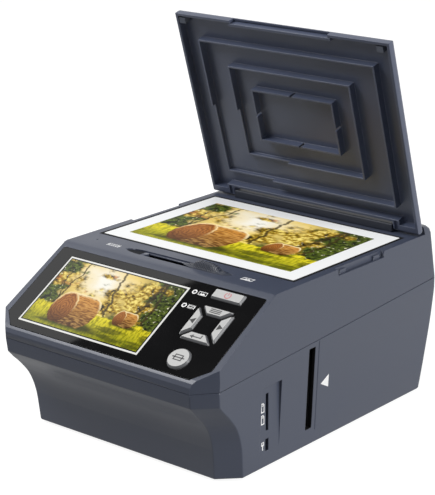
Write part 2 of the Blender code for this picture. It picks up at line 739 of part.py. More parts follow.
block_top = MAIN_BOARD_LOW_Z + BOARD_BLOCK / 2
for x in (MAIN_BOARD_LEFT_X + BOARD_BLOCK, MAIN_BOARD_RIGHT_X - BOARD_BLOCK * 4):
    join(lower_case, box_mesh("board_block", (x, MAIN_BOARD_Y - BOARD_BLOCK / 2, FOOT_H + SINK),
                              (x + BOARD_BLOCK, MAIN_BOARD_Y + BOARD_BLOCK / 2, block_top)))
    cut(lower_case, box_mesh("board_groove", (x - OVER, MAIN_BOARD_Y - SLIP, MAIN_BOARD_LOW_Z - SLIP),
                             (x + BOARD_BLOCK + OVER, MAIN_BOARD_Y + BOARD_T + SLIP,
                              MAIN_BOARD_LOW_Z + BOARD_BLOCK)))

# The film slot runs in at one side of the tub and out at the other
cut(lower_case, box_mesh("film_slot", (-WIDE, FILM_Y - FILM_W / 2, FILM_LOW_Z),
                         (WIDE, FILM_Y + FILM_W / 2, FILM_LOW_Z + FILM_H)))

# Sunk panel on the card side: a thicker wall behind it, and a face that falls back toward the top
SUNK_BACK_X = SUNK_FACE_X - SUNK_FALL - WALL
join(lower_case, loft_mesh("sunk_backing", [
    [(SUNK_BACK_X, SUNK_FRONT_Y - WALL, z), (half_width(z) - SINK, SUNK_FRONT_Y - WALL, z),
     (half_width(z) - SINK, SUNK_BACK_Y + WALL, z), (SUNK_BACK_X, SUNK_BACK_Y + WALL, z)]
    for z in (FOOT_H + SINK, SUNK_HIGH_Z + WALL)]))
SUNK_OUT = SEAM_HALF + OVER
sunk = [(SUNK_FACE_X + SLIP, SUNK_LOW_Z), (SUNK_OUT, SUNK_LOW_Z), (SUNK_OUT, SUNK_HIGH_Z),
        (SUNK_FACE_X - SUNK_FALL + SLIP, SUNK_HIGH_Z)]
sunk_rings = [[(px, y, pz) for px, pz in sunk] for y in (SUNK_FRONT_Y, SUNK_BACK_Y)]
cut(lower_case, loft_mesh("sunk_panel", sunk_rings))
cut(lower_case, box_mesh("card_slot", (SUNK_FACE_X - WALL * 2, CARD_Y - CARD_SLOT_W / 2, CARD_LOW_Z),
                         (SUNK_OUT, CARD_Y + CARD_SLOT_W / 2, CARD_LOW_Z + CARD_SLOT_H)))
cut(lower_case, box_mesh("data_slot", (SUNK_FACE_X - WALL * 2, CARD_Y - USB_W / 2, USB_LOW_Z),
                         (SUNK_OUT, CARD_Y + USB_W / 2, USB_LOW_Z + USB_H)))

# A shallow groove marks the film door's edge behind the slot
cut(lower_case, loft_mesh("door_groove", [
    [(half_width(z) - SEAM_GROOVE_D, SEAM_GROOVE_Y, z), (half_width(z) + OVER, SEAM_GROOVE_Y, z),
     (half_width(z) + OVER, SEAM_GROOVE_Y + SEAM_GROOVE_W, z),
     (half_width(z) - SEAM_GROOVE_D, SEAM_GROOVE_Y + SEAM_GROOVE_W, z)]
    for z in (CHANNEL_LOW_Z, seam_z(FILM_Y) - GAP)]))

# Foot pockets, screw holes and their counterbores in the underside
for side in (-1, 1):
    for y in (FOOT_FRONT_Y, FOOT_BACK_Y):
        length = FOOT_POCKET + OVER
        cut(lower_case, rod_mesh("foot_pocket", FOOT_R + SLIP, length, (0, 0, 1),
                                 (side * FOOT_X, y, FOOT_H + FOOT_POCKET - length / 2), 24))
    for y in (POST_FRONT_Y, POST_BACK_Y):
        head_top = POST_SPLIT_Z - SCREW_SEAT_T
        length = head_top + OVER
        cut(lower_case, rod_mesh("counterbore", SCREW_HEAD_R + SLIP, length, (0, 0, 1),
                                 (side * POST_X, y, head_top - length / 2), 16))
        length = SCREW_SEAT_T + OVER * 2
        cut(lower_case, rod_mesh("screw_hole", SCREW_R + SLIP, length, (0, 0, 1),
                                 (side * POST_X, y, POST_SPLIT_Z), 16))

# Everything above the parting line belongs to the upper case
FAR = CASE_DEPTH
seam_cut = [(-FAR, seam_z(-FAR)), (FAR, seam_z(FAR)), (FAR, SEAM_HIGH_Z + FAR), (-FAR, SEAM_HIGH_Z + FAR)]
cut(lower_case, side_prism("above_seam", seam_cut, FAR))

# Upper case: a lofted cap with the deck, the raised rear rim and the sloped panel
RIM_ARC_SHARES = (0.0, 0.35, 0.65, 0.87, 1.0)
cap = [case_ring(level, 0.0) for level in (LIP_Z, LIP_TOP_Z, SEAM_MID_Z, REAR_WIDEST_Z)]
for share in RIM_ARC_SHARES:
    angle = share * math.pi / 2
    z = RIM_TOP_Z - RIM_RADIUS + RIM_RADIUS * math.sin(angle)
    drawn_in = 1 - math.cos(angle)
    cap.append(case_ring(z, 0.0, RIM_RADIUS * drawn_in, RIM_SIDE_RADIUS * drawn_in))
upper_case = add_object("upper_case", loft_mesh("upper_case", cap), CASE_PAINT)
hollow = [case_ring(LIP_Z - OVER, WALL), case_ring(LIP_TOP_Z, WALL), case_ring(SEAM_MID_Z, WALL),
          case_ring(REAR_WIDEST_Z, WALL), case_ring(DECK_Z - DECK_T, WALL)]
ceiling = side_prism("ceiling", [slope_point(SLOPE_RUN * 2, -SLOPE_WALL), slope_point(0.0, -SLOPE_WALL),
                                 (DECK_FRONT_Y + SLOPE_WALL, DECK_Z - DECK_T), (FAR, DECK_Z - DECK_T),
                                 (FAR, FAR), (-FAR, FAR)], FAR)
cavity = cut(upper_case, loft_mesh("cap_hollow", hollow))
lid_of_cavity = cavity.modifiers.new("under_deck", "BOOLEAN")
lid_of_cavity.operation = "DIFFERENCE"
lid_of_cavity.solver = "EXACT"
lid_of_cavity.object = add_object("ceiling", ceiling, None, CUTTERS)

# Screw bosses hang down to the posts of the tub
for side in (-1, 1):
    for y in (POST_FRONT_Y, POST_BACK_Y):
        low = POST_SPLIT_Z + GAP
        length = POST_TOP_Z - low
        middle = (side * POST_X, y, low + length / 2)
        join(upper_case, rod_mesh("boss", POST_R, length, (0, 0, 1), middle, 20))

# The platen's frame thickens the deck round the glass
PLATEN_HALF = GLASS_HALF + GAP
PLATEN_HALF_D = GLASS_HALF_D + GAP
LEDGE_Z = DECK_Z - GLASS_SINK - GLASS_T - SEAL_T - GAP * 2
FRAME_LOW_Z = LEDGE_Z - LEDGE_T
frame_half_d = PLATEN_HALF_D + FRAME_BAND
join(upper_case, box_mesh("platen_frame", (-FRAME_HALF, PLATEN_MID_Y - frame_half_d, FRAME_LOW_Z),
                          (FRAME_HALF, PLATEN_MID_Y + frame_half_d, DECK_Z - SINK)))

# A rib round the panel's well carries the screen and the key board
WELL = rectangle(WELL_LEFT_X, -WELL_END_S, WELL_RIGHT_X, -WELL_TOP_S)
join(upper_case, plate_mesh("well_rib", [offset_outline(WELL, WELL_RIB), WELL], -WELL_RIB_DEPTH,
                            -SLOPE_WALL + SINK), PANEL)

# The deck and the slope are cut with the nose and the brow rounded off
exit_y, exit_z = FRONT_Y, NOSE_Z - NOSE_ROUND
brow = (DECK_FRONT_Y + BROW_ROUND, DECK_Z)
over_slope = [(RIM_FRONT_Y, DECK_Z), (RIM_FRONT_Y, FAR), (-FAR, FAR), (-FAR, exit_z - OVER * 2),
              (exit_y - OVER * 2, exit_z - OVER), (exit_y, exit_z),
              (exit_y + NOSE_ROUND * 0.32, NOSE_Z - NOSE_ROUND * 0.14),
              slope_point(SLOPE_RUN - NOSE_ROUND), slope_point(BROW_ROUND), brow]
cut(upper_case, side_prism("over_slope", over_slope, WIDE))

# Platen opening with its ledge
cut(upper_case, box_mesh("glass_pocket", (-PLATEN_HALF, PLATEN_MID_Y - PLATEN_HALF_D, LEDGE_Z),
                         (PLATEN_HALF, PLATEN_MID_Y + PLATEN_HALF_D, DECK_Z + OVER)))
cut(upper_case, box_mesh("platen_light", (LEDGE - PLATEN_HALF, PLATEN_MID_Y - PLATEN_HALF_D + LEDGE,
                                          FRAME_LOW_Z - OVER),
                         (PLATEN_HALF - LEDGE, PLATEN_MID_Y + PLATEN_HALF_D - LEDGE, DECK_Z + OVER)))

# Finger notches for the closed lid, each with a step at both ends
for side in (-1, 1):
    notch = rectangle(min(side * (DECK_HALF - NOTCH_IN), side * (WIDE)), NOTCH_FRONT_Y,
                      max(side * (DECK_HALF - NOTCH_IN), side * (WIDE)), NOTCH_BACK_Y)
    cut(upper_case, plate_mesh("notch", [notch], DECK_Z - NOTCH_DEPTH, DECK_Z + OVER))
    for y in (NOTCH_FRONT_Y + NOTCH_STEP / 2, NOTCH_BACK_Y - NOTCH_STEP * 3 / 2):
        x0 = side * (DECK_HALF - NOTCH_IN - SINK)
        x1 = side * (DECK_HALF - NOTCH_STEP_IN)
        join(upper_case, box_mesh("notch_step", (min(x0, x1), y, DECK_Z - NOTCH_DEPTH - SINK),
                                  (max(x0, x1), y + NOTCH_STEP, DECK_Z - NOTCH_DEPTH + NOTCH_STEP_H)))

def knob_width(share):
    """Half width of the knob at a share of its length."""
    share = min(share, 1 - share)
    return KNOB_WIDTH / 2 * read_table([(row[0], row[1]) for row in KNOB_SHARES], share)


# Groove in the deck as wide as the knob, the slot for its stem and a sensor hole
GROOVE_LEFT_X = SLIDER_REST_X - SLIDER_TRAVEL - KNOB_CLEAR
GROOVE_RIGHT_X = SLIDER_REST_X + KNOB_CLEAR
nose = [((0.5 - row[0]) * KNOB_LENGTH, knob_width(row[0]) + KNOB_CLEAR) for row in KNOB_SHARES]
tail = nose[::-1]
groove = [(GROOVE_LEFT_X - reach, SLIDER_Y - half) for reach, half in nose]
groove += [(GROOVE_RIGHT_X + reach, SLIDER_Y - half) for reach, half in tail]
groove += [(GROOVE_RIGHT_X + reach, SLIDER_Y + half) for reach, half in nose]
groove += [(GROOVE_LEFT_X - reach, SLIDER_Y + half) for reach, half in tail]
cut(upper_case, plate_mesh("slider_groove", [groove], DECK_Z - GROOVE_D, DECK_Z + OVER))
cut(upper_case, box_mesh("stem_slot", (SLIDER_REST_X - SLIDER_TRAVEL - STEM_L / 2 - GAP,
                                       SLIDER_Y - STEM_W / 2 - SLIP, DECK_Z - DECK_T - OVER),
                         (SLIDER_REST_X + STEM_L / 2 + GAP, SLIDER_Y + STEM_W / 2 + SLIP, DECK_Z + OVER)))
cut(upper_case, rod_mesh("sensor_hole", SENSOR_R, DECK_T * 3, (0, 0, 1), (SENSOR_X, SENSOR_Y, DECK_Z), 12))

# Bezel recess and the well through the slope
BEZEL = [(BEZEL_CHAMFER - BEZEL_HALF, -BEZEL_END_S), (BEZEL_HALF - BEZEL_CHAMFER, -BEZEL_END_S),
         (BEZEL_HALF, BEZEL_CHAMFER - BEZEL_END_S), (BEZEL_HALF, -BEZEL_TOP_S),
         (-BEZEL_HALF, -BEZEL_TOP_S), (-BEZEL_HALF, BEZEL_CHAMFER - BEZEL_END_S)]
BEZEL_SOFT = rounded(BEZEL, BEZEL_CORNER, 2)
RECESS = BEZEL_T + GAP
cut(upper_case, plate_mesh("bezel_recess", [offset_outline(BEZEL_SOFT, SLIP)], -RECESS, OVER), PANEL)
cut(upper_case, plate_mesh("panel_well", [WELL], -WELL_RIB_DEPTH - OVER, OVER), PANEL)

# Screw pilots in the bosses
for side in (-1, 1):
    for y in (POST_FRONT_Y, POST_BACK_Y):
        length = SCREW_GRIP + GAP + OVER
        cut(upper_case, rod_mesh("pilot", SCREW_R + SLIP, length, (0, 0, 1),
                                 (side * POST_X, y, POST_SPLIT_Z - OVER + length / 2), 16))

# Everything below the parting line, but the bosses, belongs to the lower case
skirt = [[(px, py, pz) for px, py, pz in case_ring(SEAM_MID_Z, -OVER, at_z=level)]
         for level in (POST_SPLIT_Z - OVER, SEAM_MID_Z)]
below = [(-FAR, seam_z(-FAR) + GAP), (-FAR, LIP_Z - FAR), (FAR, LIP_Z - FAR), (FAR, seam_z(FAR) + GAP)]
under_seam = cut(upper_case, side_prism("below_seam", below, FAR))
for side in (-1, 1):
    for y in (POST_FRONT_Y, POST_BACK_Y):
        keep = under_seam.modifiers.new(f"keep_boss_{side}_{y:.3f}", "BOOLEAN")
        keep.operation = "DIFFERENCE"
        keep.solver = "EXACT"
        length = SEAM_HIGH_Z - POST_SPLIT_Z + FAR / 2
        middle = (side * POST_X, y, POST_SPLIT_Z - OVER + length / 2)
        keeper = rod_mesh("boss_keeper", POST_R + SLIP, length, (0, 0, 1), middle, 20)
        keep.object = add_object(f"boss_keeper_{side}_{y:.3f}", keeper, None, CUTTERS)

# Bezel: a black plate with the screen window, key holes and two lamp holes
SCREEN = rectangle(SCREEN_X - SCREEN_W / 2, -SCREEN_S - SCREEN_H / 2, SCREEN_X + SCREEN_W / 2,
                   -SCREEN_S + SCREEN_H / 2)


def pad_key(direction):
    """Outline of one of the four keys round the pad's middle; direction is a quarter turn count."""
    flat = [(-PAD_INNER_SPAN / 2, PAD_INNER), (PAD_INNER_SPAN / 2, PAD_INNER),
            (PAD_OUTER_SPAN / 2, PAD_OUTER), (-PAD_OUTER_SPAN / 2, PAD_OUTER)]
    spin = Matrix.Rotation(math.radians(90 * direction), 2)
    return [tuple(spin @ Vector(point)) for point in flat]


def circle(radius, sides):
    """Outline of a circle about the origin."""
    return [(radius * math.cos(2 * math.pi * k / sides), radius * math.sin(2 * math.pi * k / sides))
            for k in range(sides)]


KEYS = {
    "key_power": (POWER_X, POWER_S, rectangle(-POWER_W / 2, -POWER_H / 2, POWER_W / 2, POWER_H / 2)),
    "key_menu": (PAD_X, PAD_S, pad_key(0)),
    "key_left": (PAD_X, PAD_S, pad_key(1)),
    "key_enter": (PAD_X, PAD_S, pad_key(2)),
    "key_right": (PAD_X, PAD_S, pad_key(3)),
    "key_scan": (SCAN_X, SCAN_S, circle(SCAN_R, 32)),
}


def key_outline(shape, inset, corner):
    """A key's outline drawn in by an inset, with soft corners unless it is the round one."""
    drawn = offset_outline(shape, -inset)
    return rounded(drawn, corner, 2) if len(shape) == 4 else drawn


openings = [offset_outline(SCREEN, SLIP)]
for key_x, key_s, shape in KEYS.values():
    hole = key_outline(shape, -SLIP, KEY_CORNER)
    openings.append([(key_x + px, py - key_s) for px, py in hole])
for lamp_x, lamp_s in LAMPS:
    openings.append([(lamp_x + px, py - lamp_s) for px, py in circle(LAMP_R + SLIP, 16)])
bezel = add_object("bezel_panel", plate_mesh("bezel_panel", [BEZEL_SOFT] + openings, -BEZEL_T, 0.0),
                   material("bezel_gloss", BLACK, 0.08))
bezel.matrix_world = PANEL

# Screen module: its glass stands up into the bezel's window
SCREEN_BACK = RECESS + SCREEN_T
can = plate_mesh("screen_module", [offset_outline(SCREEN, SCREEN_BORDER)], -SCREEN_BACK, -RECESS)
screen = add_object("screen_module", can, material("screen_glass", BLACK, 0.05))
screen.matrix_world = PANEL
face = plate_mesh("screen_face", [offset_outline(SCREEN, -SLIP)], -RECESS - SINK, -SCREEN_GLASS_SINK)
join(screen, face, PANEL)

# Back plate that holds the screen and the key board in the well
PLATE_TOP = WELL_RIB_DEPTH + GAP
plate_outline = rectangle(-BACK_PLATE_HALF, -WELL_END_S - BACK_PLATE_LIP, BACK_PLATE_HALF,
                          -WELL_TOP_S + BACK_PLATE_LIP)
slot = rectangle(SCREEN_X - SCREEN_H / 4, -SCREEN_S - SCREEN_H / 8, SCREEN_X + SCREEN_H / 4,
                 -SCREEN_S + SCREEN_H / 8)
back_plate = add_object("panel_back_plate", plate_mesh("panel_back_plate", [plate_outline, slot],
                                                       -PLATE_TOP - BACK_PLATE_T, -PLATE_TOP),
                        material("back_plate_steel", STEEL, 0.4, 1.0))
back_plate.matrix_world = PANEL

# Keys: each cap has a retaining flange under the bezel and a skirt that tapers to its top
KEY_PAINT = material("key_plastic", KEY_GREY, 0.4)
key_places = []
for name, (key_x, key_s, shape) in KEYS.items():
    mid = Vector((sum(p[0] for p in shape), sum(p[1] for p in shape))) / len(shape)
    local = [(px - mid.x, py - mid.y) for px, py in shape]
    flange = key_outline(local, -KEY_FLANGE, KEY_CORNER)
    sides = key_outline(local, 0.0, KEY_CORNER)
    top = key_outline(local, KEY_TAPER, KEY_TOP_CORNER)
    levels = [(flange, -RECESS - KEY_FLANGE_T), (flange, -RECESS), (sides, -RECESS),
              (sides, KEY_LAND), (top, KEY_RISE)]
    cap_mesh = loft_mesh(name, [[(px, py, level) for px, py in ring] for ring, level in levels])
    key = add_object(name, cap_mesh, KEY_PAINT)
    place = (key_x + mid.x, mid.y - key_s)
    key_places.append(place)
    key.matrix_world = PANEL @ Matrix.Translation((place[0], place[1], 0))

# Key mat with a dome under every key, and the key board behind it
DOME_TOP = RECESS + KEY_FLANGE_T + KEY_TRAVEL + SLIP
MAT_TOP = DOME_TOP + DOME_H
BOARD_TOP = MAT_TOP + MAT_T + GAP
mat_outline = rectangle(MAT_LEFT_X, -WELL_END_S + GAP * 2, WELL_RIGHT_X - GAP * 2, -WELL_TOP_S - GAP * 2)
key_mat = add_object("key_mat", plate_mesh("key_mat", [mat_outline], -MAT_TOP - MAT_T, -MAT_TOP),
                     material("mat_rubber", RUBBER, 0.8))
key_mat.matrix_world = PANEL
for px, py in key_places:
    length = MAT_TOP - DOME_TOP + MAT_T / 2
    join(key_mat, rod_mesh("dome", DOME_R, length, (0, 0, 1), (px, py, -DOME_TOP - length / 2), 12), PANEL)
SCREEN_RIGHT_X = SCREEN_X + SCREEN_W / 2 + SCREEN_BORDER
board_outline = rectangle(SCREEN_RIGHT_X + GAP * 2, -WELL_END_S + GAP * 2, WELL_RIGHT_X - GAP * 2,
                          -WELL_TOP_S - GAP * 2)
board = plate_mesh("key_board", [board_outline], -BOARD_TOP - BOARD_T, -BOARD_TOP)
key_board = add_object("key_board", board, material("key_board_green", BOARD_GREEN, 0.5))
key_board.matrix_world = PANEL

# Two lamp pipes from the key board up to the bezel's face
PIPE_CLEAR = material("lamp_pipe_clear", WHITE, 0.2)
for name, (lamp_x, lamp_s) in zip(("lamp_pipe_photo", "lamp_pipe_film"), LAMPS):
    length = BOARD_TOP - GAP
    pipe = add_object(name, rod_mesh(name, LAMP_R, length, (0, 0, 1), (0, 0, -length / 2), 16), PIPE_CLEAR)
    pipe.matrix_world = PANEL @ Matrix.Translation((lamp_x, -lamp_s, 0))

# Platen: a seal on the ledge, the glass and the print that lies on it
GLASS_TOP_Z = DECK_Z - GLASS_SINK
SEAL_LOW_Z = LEDGE_Z + GAP
ring_out = rectangle(-GLASS_HALF, PLATEN_MID_Y - GLASS_HALF_D, GLASS_HALF, PLATEN_MID_Y + GLASS_HALF_D)
ring_in = offset_outline(ring_out, -LEDGE + GAP)
add_object("glass_seal", plate_mesh("glass_seal", [ring_out, ring_in], SEAL_LOW_Z, SEAL_LOW_Z + SEAL_T),
           material("seal_rubber", RUBBER, 0.8))
pane = box_mesh("platen_glass", (-GLASS_HALF, PLATEN_MID_Y - GLASS_HALF_D, GLASS_TOP_Z - GLASS_T),
                (GLASS_HALF, PLATEN_MID_Y + GLASS_HALF_D, GLASS_TOP_Z))
add_object("platen_glass", pane, material("platen_glass", CLEAR, 0.05))
print_low_z = GLASS_TOP_Z + GAP / 2
sheet = box_mesh("photo_print", (-PRINT_W / 2, PLATEN_MID_Y - PRINT_D / 2, print_low_z),
                 (PRINT_W / 2, PLATEN_MID_Y + PRINT_D / 2, print_low_z + PRINT_T))
add_object("photo_print", sheet, material("print_paper", WHITE, 0.3))

# Mode slider: a leaf-shaped knob with a ridged hump, its stem and the carriage under the deck
KNOB_LOW_Z = DECK_Z - GROOVE_D + GAP


def knob_height(share):
    """Height of the knob's spine at a share of its length."""
    side_share = min(share, 1 - share)
    base = KNOB_BASE_H * read_table([(row[0], row[2]) for row in KNOB_SHARES], side_share)
    if share <= KNOB_HUMP_SHARES[0][0] or share >= KNOB_HUMP_SHARES[-1][0]:
        return base
    return base + (KNOB_H - KNOB_BASE_H) * read_table(KNOB_HUMP_SHARES, share)


KNOB_STATION_SHARES = [0.0, 0.06, 0.14, 0.22, 0.28, 0.34]
RIDGE_SHARES = [0.39, 0.425, 0.46, 0.495, 0.53, 0.565, 0.6]
knob_stations = [(share, 0.0) for share in KNOB_STATION_SHARES]
knob_stations += [(share, KNOB_RIDGE * (i % 2)) for i, share in enumerate(RIDGE_SHARES)]
knob_stations += [(1 - share, 0.0) for share in reversed(KNOB_STATION_SHARES)]
knob_rings = []
for share, dip in knob_stations:
    x = (share - 0.5) * KNOB_LENGTH
    half = knob_width(share)
    top = knob_height(share) - dip
    knob_rings.append([(x, -half, 0), (x, half, 0), (x, half, KNOB_BASE_H / 3), (x, half * 0.5, top * 0.9),
                       (x, half * 0.2, top), (x, -half * 0.2, top), (x, -half * 0.5, top * 0.9),
                       (x, -half, KNOB_BASE_H / 3)])
knob = add_object("mode_knob", loft_mesh("mode_knob", knob_rings), material("knob_plastic", CASE_BLUE, 0.4))
knob.location = (SLIDER_REST_X, SLIDER_Y, KNOB_LOW_Z)
CARRIAGE_TOP_Z = DECK_Z - DECK_T - GAP
stem_low = CARRIAGE_TOP_Z + GAP - KNOB_LOW_Z
stem = box_mesh("stem", (-STEM_L / 2, -STEM_W / 2, stem_low), (STEM_L / 2, STEM_W / 2, KNOB_BASE_H / 2))
join(knob, stem, Matrix.Translation(knob.location))
block = box_mesh("slide_carriage", (-CARRIAGE_L / 2, -CARRIAGE_W / 2, -CARRIAGE_T),
                 (CARRIAGE_L / 2, CARRIAGE_W / 2, 0))
carriage = add_object("slide_carriage", block, material("carriage_plastic", BLACK, 0.5))
carriage.location = (SLIDER_REST_X, SLIDER_Y, CARRIAGE_TOP_Z)

# Lid: a shallow tray with rounded outer edges, modelled closed with its origin on the hinge axis
LID_FREE_Y = LID_TAIL - LID_LENGTH
LID_RIM_Z = -LID_AXIS_DEPTH
LID_BACK_Z = LID_T - LID_AXIS_DEPTH
LID_FLOOR_Z = LID_BACK_Z - LID_SKIN
LID_AT = Matrix.Translation((0, AXIS_Y, AXIS_Z)) @ Matrix.Rotation(-LID_OPEN, 4, "X")


def lid_y(reach):
    """Place along the closed lid at a reach from its hinge end."""
    return LID_TAIL - reach


lid_mesh = box_mesh("lid_shell", (-LID_HALF, LID_FREE_Y, LID_RIM_Z), (LID_HALF, LID_TAIL, LID_BACK_Z))
bm = bmesh.new()
bm.from_mesh(lid_mesh)
top_edges = [e for e in bm.edges if all(v.co.z > 0 for v in e.verts)]
bmesh.ops.bevel(bm, geom=top_edges, offset=LID_BACK_ROUND, segments=4, profile=0.5, affect="EDGES")
end_edges = [e for e in bm.edges if all(v.co.z < 0 for v in e.verts) and all(v.co.y > 0 for v in e.verts)]
bmesh.ops.bevel(bm, geom=end_edges, offset=LID_AXIS_DEPTH / 2, segments=2, profile=0.5, affect="EDGES")
bm.to_mesh(lid_mesh)
bm.free()
lid = add_object("lid_shell", lid_mesh, material("lid_plastic", CASE_BLUE, 0.5))
lid.matrix_world = LID_AT
tray = box_mesh("lid_tray", (LID_RIM - LID_HALF, LID_FREE_Y + LID_RIM, LID_RIM_Z - OVER),
                (LID_HALF - LID_RIM, lid_y(LID_SOLE_L), LID_FLOOR_Z))
cut(lid, tray, LID_AT)
cut(lid, box_mesh("lid_notch", (-LID_NOTCH_HALF, lid_y(LID_NOTCH_L), LID_RIM_Z - OVER),
                  (LID_NOTCH_HALF, LID_TAIL + OVER, LID_BACK_Z + OVER)), LID_AT)
for side in (-1, 1):
    x0, x1 = side * LOBE_IN_HALF, side * (LID_HALF - LID_RIM)
    cut(lid, box_mesh("lobe_pocket", (min(x0, x1), lid_y(LID_SOLE_L + SINK), LID_RIM_Z - OVER),
                      (max(x0, x1), lid_y(LOBE_WALL), LID_FLOOR_Z)), LID_AT)

# A narrow slot beside the notch in each lobe
for side in (-1, 1):
    x0 = side * (LID_NOTCH_HALF + LOBE_SLOT_IN)
    x1 = x0 + side * LOBE_SLOT_W
    cut(lid, box_mesh("lobe_slot", (min(x0, x1), lid_y(LID_SOLE_L - SINK), LID_RIM_Z - OVER),
                      (max(x0, x1), lid_y(LID_TAIL - SINK), LID_RIM_Z + LOBE_SLOT_D)), LID_AT)

# Concentric ribs on the tray's floor press the print flat: an L of the outer two is lower, the inner is slit
RIB_TIP_Z = LID_RIM_Z + RIB_SHORT
RIBS = [(LID_HALF * half, LID_LENGTH * start, LID_LENGTH * stop, LID_HALF * low)
        for half, start, stop, low in (OUTER_RIB_SHARES, MID_RIB_SHARES, INNER_RIB_SHARES)]
for half, start, stop, low_x in RIBS:
    ring = rectangle(-half, lid_y(stop), half, lid_y(start))
    rib = plate_mesh("rib", [ring, offset_outline(ring, -RIB_T)], RIB_TIP_Z, LID_FLOOR_Z + LID_SKIN / 2)
    join(lid, rib, LID_AT)
low_z = RIB_TIP_Z + RIB_LOW
for half, start, stop, low_x in RIBS[:2]:
    low_end = lid_y(LID_LENGTH * LOW_SIDE_SHARE)
    low_side = box_mesh("low_side", (-half - RIB_T, low_end, RIB_TIP_Z - OVER),
                        (-half + RIB_T * 2, lid_y(start - RIB_T), low_z))
    cut(lid, low_side, LID_AT)
    low_foot = box_mesh("low_foot", (-half + RIB_T, lid_y(start + RIB_T * 2), RIB_TIP_Z - OVER),
                        (low_x, lid_y(start - RIB_T), low_z))
    cut(lid, low_foot, LID_AT)
inner_half, inner_start, inner_stop, _ = RIBS[2]
inner_mid = (inner_start + inner_stop) / 2
reach_over = (inner_stop - inner_start) / 2 + OVER
for half_x, half_y in ((inner_half + OVER, SLIT_W / 2), (SLIT_W / 2, reach_over)):
    cut(lid, box_mesh("slit", (-half_x, lid_y(inner_mid) - half_y, RIB_TIP_Z - OVER),
                      (half_x, lid_y(inner_mid) + half_y, LID_FLOOR_Z - SLIP)), LID_AT)

# Finger grip in the lid's free edge and the bores for its hinge pins
cut(lid, box_mesh("grip", (-GRIP_HALF, LID_FREE_Y - OVER, LID_RIM_Z - OVER),
                  (GRIP_HALF, LID_FREE_Y + GRIP_DEPTH, LID_RIM_Z + GRIP_H)), LID_AT)
grip_y = LID_FREE_Y + GRIP_DEPTH
grip_wall = box_mesh("grip_wall", (-GRIP_HALF - LID_RIM, grip_y, LID_RIM_Z),
                     (GRIP_HALF + LID_RIM, grip_y + LID_RIM, LID_FLOOR_Z + LID_SKIN / 2))
join(lid, grip_wall, LID_AT)
PIN_SPAN = PIN_IN_BAR + PIN_IN_LID
for side in (-1, 1):
    inner_x = HINGE_BAR_HALF - PIN_IN_BAR
    length = LID_NOTCH_HALF - inner_x + PIN_IN_LID + GAP
    middle = (side * (inner_x + length / 2), 0, 0)
    cut(lid, rod_mesh("pin_bore", PIN_R + SLIP, length, (1, 0, 0), middle, 16), LID_AT)

# Soft pads in the free corners, and the pins
PAD_PAINT = material("pad_rubber", (0.1, 0.11, 0.13), 0.8)
for name, pad_x in (("lid_pad_left", LEFT_PAD_X), ("lid_pad_right", RIGHT_PAD_X)):
    soft = box_mesh(name, (-PAD_W / 2, -PAD_L / 2, RIB_TIP_Z), (PAD_W / 2, PAD_L / 2, LID_FLOOR_Z - GAP))
    pad = add_object(name, soft, PAD_PAINT)
    pad.matrix_world = LID_AT @ Matrix.Translation((pad_x, LID_FREE_Y + PAD_FROM_EDGE + PAD_L / 2, 0))
PIN_STEEL = material("pin_steel", STEEL, 0.3, 1.0)
for name, side in (("hinge_pin_left", -1), ("hinge_pin_right", 1)):
    middle = (side * (HINGE_BAR_HALF - PIN_IN_BAR + GAP + PIN_SPAN / 2), AXIS_Y, AXIS_Z)
    add_object(name, rod_mesh(name, PIN_R, PIN_SPAN, (1, 0, 0), middle, 16), PIN_STEEL)

# Hinge bar on the deck between the lid's two lobes
bar_low = DECK_Z + GAP
bar_top = DECK_Z + HINGE_BAR_H
bar_back = RIM_FRONT_Y - GAP
bar_profile = [(HINGE_BAR_FRONT_Y, bar_low), (bar_back, bar_low), (bar_back, bar_top - HINGE_BAR_BEVEL / 2),
               (bar_back - HINGE_BAR_BEVEL / 2, bar_top), (HINGE_BAR_FRONT_Y + HINGE_BAR_BEVEL, bar_top),
               (HINGE_BAR_FRONT_Y + HINGE_BAR_BEVEL / 3, bar_top - HINGE_BAR_BEVEL / 2),
               (HINGE_BAR_FRONT_Y, bar_top - HINGE_BAR_BEVEL * 4 / 3)]
hinge_bar = add_object("hinge_bar", side_prism("hinge_bar", bar_profile, HINGE_BAR_HALF),
                       material("hinge_bar_plastic", CASE_BLUE, 0.45))
for side in (-1, 1):
    length = PIN_IN_BAR + OVER
    cut(hinge_bar, rod_mesh("bar_bore", PIN_R + SLIP, length, (1, 0, 0),
                            (side * (HINGE_BAR_HALF - PIN_IN_BAR + length / 2), AXIS_Y, AXIS_Z), 16))

# Film channel: a sleeve across the tub with a window in each wall
CHANNEL_HALF = half_width(FILM_LOW_Z) - WALL - GAP * 2
sleeve = box_mesh("film_channel", (-CHANNEL_HALF, CHANNEL_FRONT_Y, CHANNEL_LOW_Z),
                  (CHANNEL_HALF, CHANNEL_BACK_Y, CHANNEL_HIGH_Z))
channel = add_object("film_channel", sleeve, material("channel_black", BLACK, 0.5))
cut(channel, box_mesh("channel_bore", (-CHANNEL_HALF - OVER, FILM_Y - FILM_W / 2, FILM_LOW_Z),
                      (CHANNEL_HALF + OVER, FILM_Y + FILM_W / 2, FILM_LOW_Z + FILM_H)))
cut(channel, box_mesh("gate_window", (-GATE_W / 2, CHANNEL_FRONT_Y - OVER, OPTIC_Z - GATE_H / 2),
                      (GATE_W / 2, CHANNEL_BACK_Y + OVER, OPTIC_Z + GATE_H / 2)))

